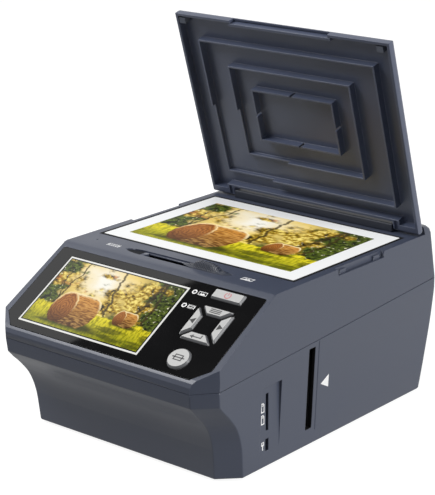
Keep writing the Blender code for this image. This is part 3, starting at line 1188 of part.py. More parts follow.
# Film lamp in front of the gate: a shallow box with its board and a diffuser
lamp_back_y = CHANNEL_FRONT_Y - GAP
lamp_front_y = lamp_back_y - LAMP_BOX_L
lamp_box = box_mesh("film_lamp_case", (-LAMP_BOX_HALF_W, lamp_front_y, OPTIC_Z - LAMP_BOX_HALF_H),
                    (LAMP_BOX_HALF_W, lamp_back_y, OPTIC_Z + LAMP_BOX_HALF_H))
lamp_case = add_object("film_lamp_case", lamp_box, material("lamp_case_black", BLACK, 0.5))
lamp_in_w = LAMP_BOX_HALF_W - LAMP_BOX_WALL
lamp_in_h = LAMP_BOX_HALF_H - LAMP_BOX_WALL
cut(lamp_case, box_mesh("lamp_hollow", (-lamp_in_w, lamp_front_y + LAMP_BOX_WALL, OPTIC_Z - lamp_in_h),
                        (lamp_in_w, lamp_back_y + OVER, OPTIC_Z + lamp_in_h)))
lamp_board_y = lamp_front_y + LAMP_BOX_WALL + GAP
lamp_low_z = OPTIC_Z - lamp_in_h + GAP
lamp_high_z = OPTIC_Z + lamp_in_h - GAP
lamp_board = box_mesh("film_lamp_board", (GAP - lamp_in_w, lamp_board_y, lamp_low_z),
                      (lamp_in_w - GAP, lamp_board_y + BOARD_T, lamp_high_z))
add_object("film_lamp_board", lamp_board, material("lamp_board_white", WHITE, 0.5))
diffuser_y = lamp_board_y + BOARD_T + GAP
diffuser = box_mesh("film_lamp_diffuser", (GAP - lamp_in_w, diffuser_y, lamp_low_z),
                    (lamp_in_w - GAP, diffuser_y + DIFFUSER_T, lamp_high_z))
add_object("film_lamp_diffuser", diffuser, material("diffuser_white", WHITE, 0.6))

# Optical tray: an open box with the gate at its front and the lens hole at its back
optic_tray = add_object("optical_tray", box_mesh("optical_tray", (-TRAY_HALF, TRAY_FRONT_Y, TRAY_LOW_Z),
                                                 (TRAY_HALF, TRAY_BACK_Y, TRAY_LOW_Z + TRAY_H)),
                        material("tray_black", BLACK, 0.6))
tray_in = TRAY_HALF - TRAY_WALL
cut(optic_tray, box_mesh("tray_hollow", (-tray_in, TRAY_FRONT_Y + TRAY_WALL, TRAY_LOW_Z + TRAY_WALL),
                         (tray_in, TRAY_BACK_Y - TRAY_WALL, TRAY_LOW_Z + TRAY_H + OVER)))
cut(optic_tray, box_mesh("tray_gate", (-GATE_W / 2, TRAY_FRONT_Y - OVER, OPTIC_Z - GATE_H / 2),
                         (GATE_W / 2, TRAY_FRONT_Y + TRAY_WALL + OVER, OPTIC_Z + GATE_H / 2)))
cut(optic_tray, rod_mesh("lens_hole", LENS_R + SLIP, TRAY_WALL * 3, (0, 1, 0),
                         (0, TRAY_BACK_Y - TRAY_WALL / 2, OPTIC_Z), 24))
for side in (-1, 1):
    cut(optic_tray, rod_mesh("shaft_hole", SHAFT_R + SLIP, TRAY_WALL * 3, (1, 0, 0),
                             (side * (TRAY_HALF - TRAY_WALL / 2), MIRROR_AXIS_Y, MIRROR_AXIS_Z), 16))

# Flip mirror: modelled lying flat toward the front, origin on its shaft, then tilted up
MIRROR_AT = Matrix.Translation((0, MIRROR_AXIS_Y, MIRROR_AXIS_Z)) @ Matrix.Rotation(-MIRROR_TILT, 4, "X")
flap = box_mesh("mirror_carrier", (-MIRROR_HALF, -MIRROR_L - MIRROR_MARGIN, -MIRROR_PLATE_T / 2),
                (MIRROR_HALF, 0, MIRROR_PLATE_T / 2))
carrier = add_object("mirror_carrier", flap, material("carrier_black", BLACK, 0.5))
carrier.matrix_world = MIRROR_AT
join(carrier, rod_mesh("knuckle", KNUCKLE_R, MIRROR_HALF * 2, (1, 0, 0), (0, 0, 0), 16), MIRROR_AT)
cut(carrier, rod_mesh("shaft_bore", SHAFT_R + SLIP, MIRROR_HALF * 3, (1, 0, 0), (0, 0, 0), 16), MIRROR_AT)
silver_z = MIRROR_PLATE_T / 2 + GAP
silver = box_mesh("flip_mirror", (MIRROR_MARGIN - MIRROR_HALF, -MIRROR_L, silver_z),
                  (MIRROR_HALF - MIRROR_MARGIN, -MIRROR_START, silver_z + MIRROR_GLASS_T))
mirror = add_object("flip_mirror", silver, material("mirror_silver", WHITE, 0.02, 1.0))
mirror.matrix_world = MIRROR_AT
shaft_l = (TRAY_HALF + SHAFT_STICK_OUT) * 2
shaft_rod = rod_mesh("mirror_shaft", SHAFT_R, shaft_l, (1, 0, 0), (0, 0, 0), 16)
shaft = add_object("mirror_shaft", shaft_rod, material("shaft_steel", STEEL, 0.3, 1.0))
shaft.matrix_world = MIRROR_AT

# Camera behind the tray: lens barrel, housing and board
lens_front_y = TRAY_BACK_Y - TRAY_WALL - LENS_L / 2
lens_profile = [(0, -LENS_DISH), (LENS_FRONT_R / 2, -LENS_DISH), (LENS_FRONT_R, 0), (LENS_R, 0),
                (LENS_R, -LENS_L), (0, -LENS_L)]
lens = turned_object("lens_barrel", lens_profile, 24, material("lens_black", BLACK, 0.3))
face_front = Matrix.Rotation(math.radians(90), 4, "X")
lens.matrix_world = Matrix.Translation((0, lens_front_y, OPTIC_Z)) @ face_front
camera_y = lens_front_y + LENS_L + GAP
add_object("camera_housing", box_mesh("camera_housing", (-CAMERA_HALF, camera_y, OPTIC_Z - CAMERA_HALF),
                                      (CAMERA_HALF, camera_y + CAMERA_L, OPTIC_Z + CAMERA_HALF)),
           material("camera_black", BLACK, 0.5))
camera_board_y = camera_y + CAMERA_L + GAP
board = box_mesh("camera_board", (-CAMERA_BOARD_HALF, camera_board_y, OPTIC_Z - CAMERA_BOARD_HALF),
                 (CAMERA_BOARD_HALF, camera_board_y + BOARD_T, OPTIC_Z + CAMERA_BOARD_HALF))
add_object("camera_board", board, material("camera_board_green", BOARD_GREEN, 0.5))

# Main board on edge behind the two sockets
board = box_mesh("main_board", (MAIN_BOARD_LEFT_X, MAIN_BOARD_Y, MAIN_BOARD_LOW_Z),
                 (MAIN_BOARD_RIGHT_X, MAIN_BOARD_Y + BOARD_T, MAIN_BOARD_LOW_Z + MAIN_BOARD_H))
add_object("main_board", board, material("main_board_green", BOARD_GREEN, 0.5))
SOCKET_FACE_X = SUNK_BACK_X - GAP
for name, low_z, height, width, length, colour in (
        ("card_socket", CARD_LOW_Z, CARD_SLOT_H, CARD_SLOT_W, CARD_SOCKET_L, "socket_steel"),
        ("data_socket", USB_LOW_Z, USB_H, USB_W, USB_SOCKET_L, "data_socket_steel")):
    low = (SOCKET_FACE_X - length, CARD_Y - width / 2 - SOCKET_WALL, low_z - SOCKET_WALL)
    high = (SOCKET_FACE_X, MAIN_BOARD_Y - SLIP, low_z + height + SOCKET_WALL)
    socket = add_object(name, box_mesh(name, low, high), material(colour, STEEL, 0.35, 1.0))
    cut(socket, box_mesh("socket_mouth", (SOCKET_FACE_X - length + SOCKET_PAD, low[1] + SOCKET_WALL, low_z),
                         (SOCKET_FACE_X + OVER, high[1] - SOCKET_WALL, low_z + height)))

# Light bars under both long sides of the platen, their inner faces slanted up to the glass
bar_in = PLATEN_HALF - LEDGE + LIGHT_BAR_BACK
bar_half = GLASS_HALF_D - LIGHT_BAR_SHORT
for name, side in (("light_bar_left", -1), ("light_bar_right", 1)):
    top_z = FRAME_LOW_Z - GAP
    low_z = top_z - LIGHT_BAR_H
    x_in = side * bar_in
    x_out = side * (bar_in + LIGHT_BAR_W)
    x_slant = side * (bar_in + LIGHT_BAR_FACE)
    section = [(x_in, low_z), (x_out, low_z), (x_out, top_z), (x_slant, top_z),
               (x_in, top_z - LIGHT_BAR_FACE)]
    rings = [[(px, y, pz) for px, pz in section]
             for y in (PLATEN_MID_Y - bar_half, PLATEN_MID_Y + bar_half)]
    add_object(name, loft_mesh(name, rings), material(f"{name}_white", WHITE, 0.4))

# Rubber feet and case screws
FOOT_RUBBER = material("foot_rubber", RUBBER, 0.85)
SCREW_STEEL = material("screw_steel", STEEL, 0.35, 1.0)
ENDS = (("front", FOOT_FRONT_Y, POST_FRONT_Y), ("back", FOOT_BACK_Y, POST_BACK_Y))
for x_name, side in (("left", -1), ("right", 1)):
    for y_name, foot_y, post_y in ENDS:
        name = f"foot_{y_name}_{x_name}"
        height = FOOT_H + FOOT_POCKET - GAP
        profile = [(0, height), (FOOT_R, height), (FOOT_R, BASE_EDGE), (FOOT_R - BASE_EDGE, 0), (0, 0)]
        turned_object(name, profile, 24, FOOT_RUBBER).location = (side * FOOT_X, foot_y, 0)
        name = f"screw_{y_name}_{x_name}"
        head_top = POST_SPLIT_Z - SCREW_SEAT_T - GAP
        tip_z = POST_SPLIT_Z + SCREW_GRIP - GAP
        profile = [(0, tip_z), (SCREW_R, tip_z), (SCREW_R, head_top), (SCREW_HEAD_R, head_top),
                   (SCREW_HEAD_R, head_top - SCREW_HEAD_H), (0, head_top - SCREW_HEAD_H)]
        turned_object(name, profile, 16, SCREW_STEEL).location = (side * POST_X, post_y, 0)
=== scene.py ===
import math

import bmesh
import bpy
import numpy as np
from mathutils import Matrix, Vector


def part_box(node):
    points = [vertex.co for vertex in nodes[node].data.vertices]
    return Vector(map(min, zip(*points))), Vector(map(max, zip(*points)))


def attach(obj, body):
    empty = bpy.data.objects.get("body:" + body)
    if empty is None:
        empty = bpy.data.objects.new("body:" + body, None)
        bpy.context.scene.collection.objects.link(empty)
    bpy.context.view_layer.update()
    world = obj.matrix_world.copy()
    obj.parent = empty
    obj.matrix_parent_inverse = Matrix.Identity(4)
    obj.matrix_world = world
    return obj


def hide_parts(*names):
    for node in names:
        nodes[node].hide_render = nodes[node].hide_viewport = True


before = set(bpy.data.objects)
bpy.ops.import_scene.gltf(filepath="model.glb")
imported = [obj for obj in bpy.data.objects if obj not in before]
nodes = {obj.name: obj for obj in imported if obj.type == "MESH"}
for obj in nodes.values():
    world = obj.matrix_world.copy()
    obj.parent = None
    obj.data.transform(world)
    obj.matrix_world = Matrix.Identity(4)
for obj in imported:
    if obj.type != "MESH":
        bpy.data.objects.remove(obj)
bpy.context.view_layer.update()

scene = bpy.context.scene
MM = 0.001


# Floor and backdrop. A white matt sweep: its own glow makes it white for the camera, and it keeps the
# soft shadow that the case throws. Towards the camera its glow fades out of the gloss of the case.
def linear(code):
    """Turn an sRGB hex value into a linear colour."""
    parts = [int(code[i:i + 2], 16) / 255 for i in (1, 3, 5)]
    return tuple(c / 12.92 if c <= 0.04045 else ((c + 0.055) / 1.055) ** 2.4 for c in parts) + (1.0,)


def plug(tree, node, links):
    """Set a node's inputs: links maps a socket's name or number to a value, a socket or a node.

    A node stands for the first of its outputs that is in use.
    """
    for key, value in links.items():
        if isinstance(value, bpy.types.Node):
            value = next(socket for socket in value.outputs if socket.enabled)
        if isinstance(value, bpy.types.NodeSocket):
            tree.links.new(value, node.inputs[key])
        else:
            node.inputs[key].default_value = value


def add_node(tree, kind, links=None, **settings):
    """Add a shader or geometry node with its settings and its inputs."""
    made = tree.nodes.new(kind)
    for key, value in settings.items():
        setattr(made, key, value)
    plug(tree, made, links or {})
    return made


def new_material(name):
    """Return a material, its node tree and the Principled shader that is wired to the output."""
    made = bpy.data.materials.new(name)
    made.use_nodes = True
    tree = made.node_tree
    return made, tree, tree.nodes["Principled BSDF"]


def seen_by(tree, camera_share, gloss_share):
    """Strength for rays from the camera or through glass, and for rays off gloss; none for the rest."""
    path = add_node(tree, "ShaderNodeLightPath").outputs
    direct = add_node(tree, "ShaderNodeMath", {0: path["Is Camera Ray"], 1: path["Is Transmission Ray"]},
                      operation="MAXIMUM")
    straight = add_node(tree, "ShaderNodeMath", {0: direct, 1: camera_share}, operation="MULTIPLY")
    return add_node(tree, "ShaderNodeMath", {0: path["Is Glossy Ray"], 1: gloss_share, 2: straight},
                    operation="MULTIPLY_ADD")


def added(name, data):
    """Put a new object in the scene."""
    made = bpy.data.objects.new(name, data)
    scene.collection.objects.link(made)
    return made


def solid_of(name, bm, paint):
    """Turn a bmesh into an object with one finish."""
    mesh = bpy.data.meshes.new(name)
    bm.to_mesh(mesh)
    bm.free()
    mesh.materials.append(paint)
    return added(name, mesh)


FLOOR_HALF = 6.0
FLOOR_GLOW = 0.90
GLOW_IN_GLOSS = 0.80
FADE_FRONT_Y = -0.30
FADE_BACK_Y = -0.05
# the paper's fibres are drawn far coarser than they are, so that they show
FIBRE_W = 25.0 * MM
FIBRE_DEPTH = 0.5 * MM
floor_paint, tree, shader = new_material("white_paper_sweep")
where = add_node(tree, "ShaderNodeTexCoord").outputs["Object"]
place = add_node(tree, "ShaderNodeSeparateXYZ", {0: where})
in_gloss = add_node(tree, "ShaderNodeMapRange", {"Value": place.outputs[1], "From Min": FADE_FRONT_Y,
                                                 "From Max": FADE_BACK_Y, "To Max": GLOW_IN_GLOSS})
fibre = add_node(tree, "ShaderNodeTexNoise", {"Vector": where, "Scale": 1 / FIBRE_W, "Detail": 3.0})
dip = add_node(tree, "ShaderNodeBump", {"Height": fibre, "Strength": 0.05, "Distance": FIBRE_DEPTH})
plug(tree, shader, {"Base Color": linear("#80807E"), "Roughness": 0.9, "Emission Color": linear("#FFFFFF"),
                    "Emission Strength": seen_by(tree, FLOOR_GLOW, in_gloss), "Normal": dip})
bm = bmesh.new()
bmesh.ops.create_grid(bm, x_segments=1, y_segments=1, size=FLOOR_HALF)
solid_of("floor_sweep", bm, floor_paint)


# Camera. It stands where the photograph was taken from: to the right of the front, a little above
# the deck, far enough back for the long lens.
def towards(place, aim):
    """The turn with which a camera or a lamp at a place faces a point."""
    return (Vector(aim) - Vector(place)).to_track_quat("-Z", "Y").to_euler()


SENSOR_W = 36.0
PHOTO_W = 435
FOCAL_PX = 1785.67
FARTHEST = 30.0
CAMERA_AT = (0.7664, -0.9287, 0.4944)
CAMERA_AIM = (-0.00015, -0.0038, 0.1217)
camera_data = bpy.data.cameras.new("camera")
camera_data.sensor_fit = "HORIZONTAL"
camera_data.sensor_width = SENSOR_W
camera_data.lens = FOCAL_PX * SENSOR_W / PHOTO_W
camera_data.clip_end = FARTHEST
camera = added("camera", camera_data)
camera.location = CAMERA_AT
camera.rotation_euler = towards(CAMERA_AT, CAMERA_AIM)
scene.camera = camera

# Light. A big soft box high in front on the left, a tall strip box on the right, a dim even surround,
# and a white room that shows in the gloss. A black flag hangs where the sloped panel would mirror the
# ceiling.
LAMP_AIM = (0, 0, 0.1)


def soft_box(name, place, wide, tall, watts):
    """Add a rectangular area lamp that faces the scanner."""
    data = bpy.data.lights.new(name, "AREA")
    data.shape = "RECTANGLE"
    data.size = wide
    data.size_y = tall
    data.energy = watts
    lamp = added(name, data)
    lamp.location = place
    lamp.rotation_euler = towards(place, LAMP_AIM)


soft_box("soft_box_top", (-0.95, -0.80, 1.48), wide=0.85, tall=0.85, watts=30.0)
soft_box("strip_box_right", (1.35, 0.15, 0.56), wide=0.35, tall=1.1, watts=16.0)
SURROUND = 0.26
world = bpy.data.worlds.new("pale_surround")
scene.world = world
world.use_nodes = True
tree = world.node_tree
room = add_node(tree, "ShaderNodeMath", {0: seen_by(tree, 1 - SURROUND, 1 - SURROUND), 1: SURROUND},
                operation="ADD")
light = add_node(tree, "ShaderNodeBackground", {"Color": linear("#FFFFFF"), "Strength": room})
plug(tree, tree.nodes["World Output"], {"Surface": light})
scene.view_settings.view_transform = "Standard"

DECK_Z = 0.1217
PANEL_TOP_Y = -0.059
PANEL_SLOPE = math.radians(30.4)
PANEL = Matrix.Translation((0, PANEL_TOP_Y, DECK_Z)) @ Matrix.Rotation(PANEL_SLOPE, 4, "X")
OUT = PANEL.to_3x3() @ Vector((0, 0, 1))


def on_panel(x_mm, s_mm):
    """Place on the sloped panel: across, and down from the deck's edge."""
    return PANEL @ Matrix.Translation((x_mm * MM, -s_mm * MM, 0))


# the flag is cut to the part of the panel that it darkens, in millimetres across and down the panel,
# as the camera sees it mirrored there
FLAG_ON_PANEL = ((30, 4), (60, -60), (200, -60), (200, 200), (-106, 200), (-23, 80))
FLAG_AWAY = 0.5
# the cloth's weave is drawn coarser than it is
WEAVE_W = 3.33 * MM


def clouded(name, code, low, high, patch, detail=2.0, others=None):
    """A material of one colour whose roughness drifts from low to high in soft patches."""
    made, tree, shader = new_material(name)
    where = add_node(tree, "ShaderNodeTexCoord").outputs["Object"]
    cloud = add_node(tree, "ShaderNodeTexNoise", {"Vector": where, "Scale": 1 / patch, "Detail": detail})
    sheen = add_node(tree, "ShaderNodeMapRange", {"Value": cloud, "To Min": low, "To Max": high})
    plug(tree, shader, {"Base Color": linear(code), "Roughness": sheen, **(others or {})})
    return made


flag_cloth = clouded("black_flag_cloth", "#050505", 0.9, 1.0, WEAVE_W, others={"Specular IOR Level": 0.0})
corners = []
for x_mm, s_mm in FLAG_ON_PANEL:
    spot = on_panel(x_mm, s_mm).to_translation()
    ray = (spot - camera.location).normalized()
    corners.append(spot + (ray - 2 * ray.dot(OUT) * OUT) * FLAG_AWAY)
mesh = bpy.data.meshes.new("black_flag")
mesh.from_pydata(corners, [], [range(len(corners))])
mesh.materials.append(flag_cloth)
flag = added("black_flag", mesh)
flag.visible_camera = False
flag.visible_diffuse = False
flag.visible_shadow = False
flag.visible_transmission = False

# Lower case. A deep tub of dark blue-grey ABS, injection moulded with a fine spark texture, its
# front drawn in under the lip in one concave sweep. Its edges carry the small radius of the mould.
WELD = 0.002 * MM
SLIVER = 0.01 * MM
LEVEL = math.radians(0.2)
PLANE_DIGITS = 6


def thin(face):
    """A sliver of the CAD mesh, whose normal says nothing."""
    return face.calc_area() < SLIVER * max(edge.calc_length() for edge in face.edges)


def outer_planes(bm):
    """The planes that nothing of a mesh stands out of, each a normal and how far out it lies."""
    spots = np.array([vert.co for vert in bm.verts])
    planes = set()
    for face in bm.faces:
        reach = face.normal.dot(face.verts[0].co)
        if (spots @ np.array(face.normal)).max() < reach + WELD:
            planes.add(tuple(np.round((*face.normal, reach), PLANE_DIGITS).tolist()))
    return planes


def painted(mesh, paint):
    """Give a mesh one finish in place of those it has."""
    mesh.materials.clear()
    mesh.materials.append(paint)


def softened(node, name, body, paint, edge, angle=28.0, merge=True, worn=(), tight=None):
    """Replace a CAD node by a copy with rounded edges, smooth shading and a finish.

    Edges that bend by more than the angle get the fine radius. worn is (radius, function that picks the
    edges of that radius), tight tells which edges stay sharp, and merge joins faces that lie level.
    """
    mesh = nodes[node].data.copy()
    mesh.name = name
    bm = bmesh.new()
    bm.from_mesh(mesh)
    bmesh.ops.remove_doubles(bm, verts=bm.verts, dist=WELD)
    bmesh.ops.dissolve_degenerate(bm, dist=SLIVER / 2, edges=bm.edges)
    if merge:
        bmesh.ops.dissolve_limit(bm, angle_limit=LEVEL, verts=bm.verts, edges=bm.edges)
    planes = outer_planes(bm) if worn else ()
    rolled = []
    for reach, pick in worn:
        rolled += bmesh.ops.bevel(bm, geom=pick(bm), offset=reach, segments=4, profile=0.5, affect="EDGES",
                                  clamp_overlap=True)["faces"]
    rolled = {face for face in rolled if face.is_valid}
    # where the bevel throws a corner out past the case, it is pushed back in
    for vert in bm.verts:
        for *normal, reach in planes:
            over = vert.co.dot(normal) - reach
            if over > 0:
                vert.co -= over * Vector(normal)
    weight = bm.edges.layers.float.new("bevel_weight_edge")
    for line in bm.edges:
        bent = len(line.link_faces) == 2 and line.calc_face_angle() > math.radians(angle)
        bent = bent and not any(thin(face) for face in line.link_faces)
        held = bent and tight and tight(line)
        line[weight] = 1.0 if bent and not held and rolled.isdisjoint(line.link_faces) else 0.0
        line.smooth = not held
    bm.to_mesh(mesh)
    bm.free()
    painted(mesh, paint)
    for face in mesh.polygons:
        face.use_smooth = True
    raw = added(name + "_raw", mesh)
    round_edge = raw.modifiers.new("mould_radius", "BEVEL")
    round_edge.width = edge
    round_edge.segments = 2
    round_edge.limit_method = "WEIGHT"
    round_edge.use_clamp_overlap = False
    round_edge.miter_outer = "MITER_ARC"
    weigh = raw.modifiers.new("flat_faces", "WEIGHTED_NORMAL")
    weigh.mode = "FACE_AREA"
    weigh.keep_sharp = True
    bpy.context.view_layer.update()
    graph = bpy.context.evaluated_depsgraph_get()
    baked = bpy.data.meshes.new_from_object(raw.evaluated_get(graph))
    bpy.data.objects.remove(raw)
    piece = added(name, baked)
    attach(piece, body)
    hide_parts(node)
    return piece


def shaded(code, share):
    """A share of a colour's light."""
    return tuple(c * share for c in linear(code)[:3]) + (1,)


CLOUD_W = 71.4 * MM


def moulded(name, code, low, high, grain_mm, depth_mm, specular=0.5):
    """ABS with a spark-eroded grain: a mottled sheen and a fine pebbled bump, coarse enough to show."""
    made, tree, shader = new_material(name)
    where = add_node(tree, "ShaderNodeTexCoord").outputs["Object"]
    cloud = add_node(tree, "ShaderNodeTexNoise", {"Vector": where, "Scale": 1 / CLOUD_W, "Detail": 4.0})
    tint = add_node(tree, "ShaderNodeMix", {0: cloud, 6: shaded(code, 0.93), 7: shaded(code, 1.07)},
                    data_type="RGBA")
    sheen = add_node(tree, "ShaderNodeMapRange", {"Value": cloud, "From Min": 0.3, "From Max": 0.7,
                                                  "To Min": low, "To Max": high})
    grain = add_node(tree, "ShaderNodeTexNoise", {"Vector": where, "Scale": 1 / (grain_mm * MM)})
    pits = add_node(tree, "ShaderNodeBump", {"Height": grain, "Strength": 0.35, "Distance": depth_mm * MM})
    plug(tree, shader, {"Base Color": tint, "Roughness": sheen, "Normal": pits, "IOR": 1.5,
                        "Specular IOR Level": specular})
    return made


TUB_EDGE = 0.35 * MM
CORNER_REACH = 0.9 * MM
FRONT_PART_Y = -85.0 * MM
BEND = math.radians(18)
# how squarely a face looks some way: the cosine of the angle between
ROUGHLY = 0.9
SQUARELY = 0.99
case_abs = moulded("abs_spark_textured_case", "#3B4151", 0.34, 0.44, 0.9, 0.05)


def bends(bm):
    """Convex edges between two faces that turn by more than BEND."""
    return [edge for edge in bm.edges if len(edge.link_faces) == 2 and edge.calc_face_angle_signed() > BEND]


def sweep_edges(bm):
    """The upright edges of the front sweep and its corners."""
    return [edge for edge in bends(bm)
            if max(vert.co.y for vert in edge.verts) < FRONT_PART_Y
            and max(abs(face.normal.z) for face in edge.link_faces) < ROUGHLY]


def front_seam(edge):
    """The parting line along the front, where the two mouldings close so tightly that no line shows."""
    return (any(abs(face.normal.z) > ROUGHLY for face in edge.link_faces)
            and any(face.normal.y < -ROUGHLY for face in edge.link_faces))


softened("lower_case", "lower_case_moulding", "case", case_abs, TUB_EDGE,
         worn=[(CORNER_REACH, sweep_edges)], tight=front_seam)

# Upper case. The same ABS, moulded in one with the deck, the rear rim and the frame of the sloped
# panel. It closes on the lower case at the parting line.
DECK_EDGE = 0.3 * MM
FRAME_REACH = 2.0 * MM
PROUD = 0.3 * MM
DECK_PLAY = 0.1 * MM


def outline_edges(bm):
    """The edges between the outer faces: those that the case doesn't stand proud of, and the deck."""
    spots = np.array([vert.co for vert in bm.verts])
    outer = {}

    def is_outer(face):
        if face not in outer:
            proud = (spots @ np.array(face.normal)).max() - face.normal.dot(face.verts[0].co)
            on_deck = face.normal.z > SQUARELY and abs(face.verts[0].co.z - DECK_Z) < DECK_PLAY
            outer[face] = face.normal.z > -ROUGHLY and (proud < PROUD or on_deck)
        return outer[face]

    return [edge for edge in bends(bm) if all(is_outer(face) for face in edge.link_faces)]


def frame_edges(bm):
    """The outline edges of the sloped panel's frame, which have the largest radius."""
    return [edge for edge in outline_edges(bm)
            if any(face.normal.dot(OUT) > SQUARELY for face in edge.link_faces)
            and not any(face.normal.z > SQUARELY for face in edge.link_faces)]


softened("upper_case", "upper_case_moulding", "case", case_abs, DECK_EDGE, merge=False,
         worn=[(FRAME_REACH, frame_edges), (CORNER_REACH, outline_edges)], tight=front_seam)

# Hinge bar. A separate strip of darker, duller ABS, screwed to the deck between the lid's two lobes. It
# carries the lid's pins at its ends.
BAR_EDGE = 0.3 * MM
bar_abs = moulded("abs_satin_hinge_bar", "#20242F", 0.44, 0.54, 0.6, 0.03, specular=0.3)
softened("hinge_bar", "hinge_bar_moulding", "case", bar_abs, BAR_EDGE)

# Lid. A shallow ABS tray with a smoother, slightly shinier face than the case, ribbed inside so
# that it lays a print flat.
LID_EDGE = 0.35 * MM
lid_abs = moulded("abs_satin_lid", "#474E62", 0.32, 0.42, 0.9, 0.03)
softened("lid_shell", "lid_moulding", "lid", lid_abs, LID_EDGE, merge=False)

# Mode knob. Satin ABS, leaf shaped and moulded in one with its stem, with a hump for the finger. The
# hump's fine ridges are rows of bump, which fade in over its foot.
KNOB_EDGE = 0.15 * MM
KNOB_BEND = 40.0
RIDGE_PITCH = 1.5 * MM
RIDGE_DEPTH = 0.3 * MM
RIDGES_FROM_Z = DECK_Z + 0.6 * MM
RIDGES_FULL_Z = DECK_Z + 1.4 * MM
knob_abs = moulded("abs_satin_knob", "#282D3A", 0.30, 0.38, 0.6, 0.02)
tree = knob_abs.node_tree
shader = tree.nodes["Principled BSDF"]
where = add_node(tree, "ShaderNodeTexCoord").outputs["Object"]
spot = add_node(tree, "ShaderNodeSeparateXYZ", {0: where})
turn = add_node(tree, "ShaderNodeMath", {0: spot.outputs[0], 1: 2 * math.pi / RIDGE_PITCH},
                operation="MULTIPLY")
comb = add_node(tree, "ShaderNodeMath", {0: turn}, operation="SINE")
on_hump = add_node(tree, "ShaderNodeMapRange", {"Value": spot.outputs[2], "From Min": RIDGES_FROM_Z,
                                                "From Max": RIDGES_FULL_Z})
ridge = add_node(tree, "ShaderNodeMath", {0: comb, 1: on_hump}, operation="MULTIPLY")
pits = shader.inputs["Normal"].links[0].from_socket
rows = add_node(tree, "ShaderNodeBump", {"Height": ridge, "Strength": 1.0, "Distance": RIDGE_DEPTH,
                                         "Normal": pits})
plug(tree, shader, {"Normal": rows})
softened("mode_knob", "mode_knob_moulding", "mode_slider", knob_abs, KNOB_EDGE, KNOB_BEND)

# Bezel. A plate of black acrylic, laser cut and glued into the panel's frame. Its polished face shows
# the room, through dust-fine smears.
BEZEL_EDGE = 0.08 * MM
SMEAR_W = 33.3 * MM
bezel_acrylic, tree, shader = new_material("black_acrylic_polished")
where = add_node(tree, "ShaderNodeTexCoord").outputs["Object"]
smear = add_node(tree, "ShaderNodeTexNoise", {"Vector": where, "Scale": 1 / SMEAR_W, "Detail": 5.0})
polish = add_node(tree, "ShaderNodeMapRange", {"Value": smear, "From Min": 0.35, "From Max": 0.75,
                                               "To Min": 0.04, "To Max": 0.11})
shade = add_node(tree, "ShaderNodeMix", {0: smear, 6: linear("#131314"), 7: linear("#19191A")},
                 data_type="RGBA")
plug(tree, shader, {"Base Color": shade, "Roughness": polish, "IOR": 1.49})
softened("bezel_panel", "bezel_plate", "case", bezel_acrylic, BEZEL_EDGE)

# Picture on the screen and the print. A made-up autumn meadow with round hay bales, in golds and
# greens, drawn by the material from the piece's own UV map. Trunks are (foot, lean, width) and bales
# (left, middle height, radius, length), in parts of the picture's width and height.
TRUNKS = ((0.09, 0.10, 0.006), (0.20, -0.16, 0.004), (0.60, -0.10, 0.009), (0.76, 0.07, 0.014),
          (0.93, -0.08, 0.010))
BALES = ((0.70, 0.37, 0.070, 0.10), (0.23, 0.31, 0.150, 0.20))
BALE_OVAL = 0.62


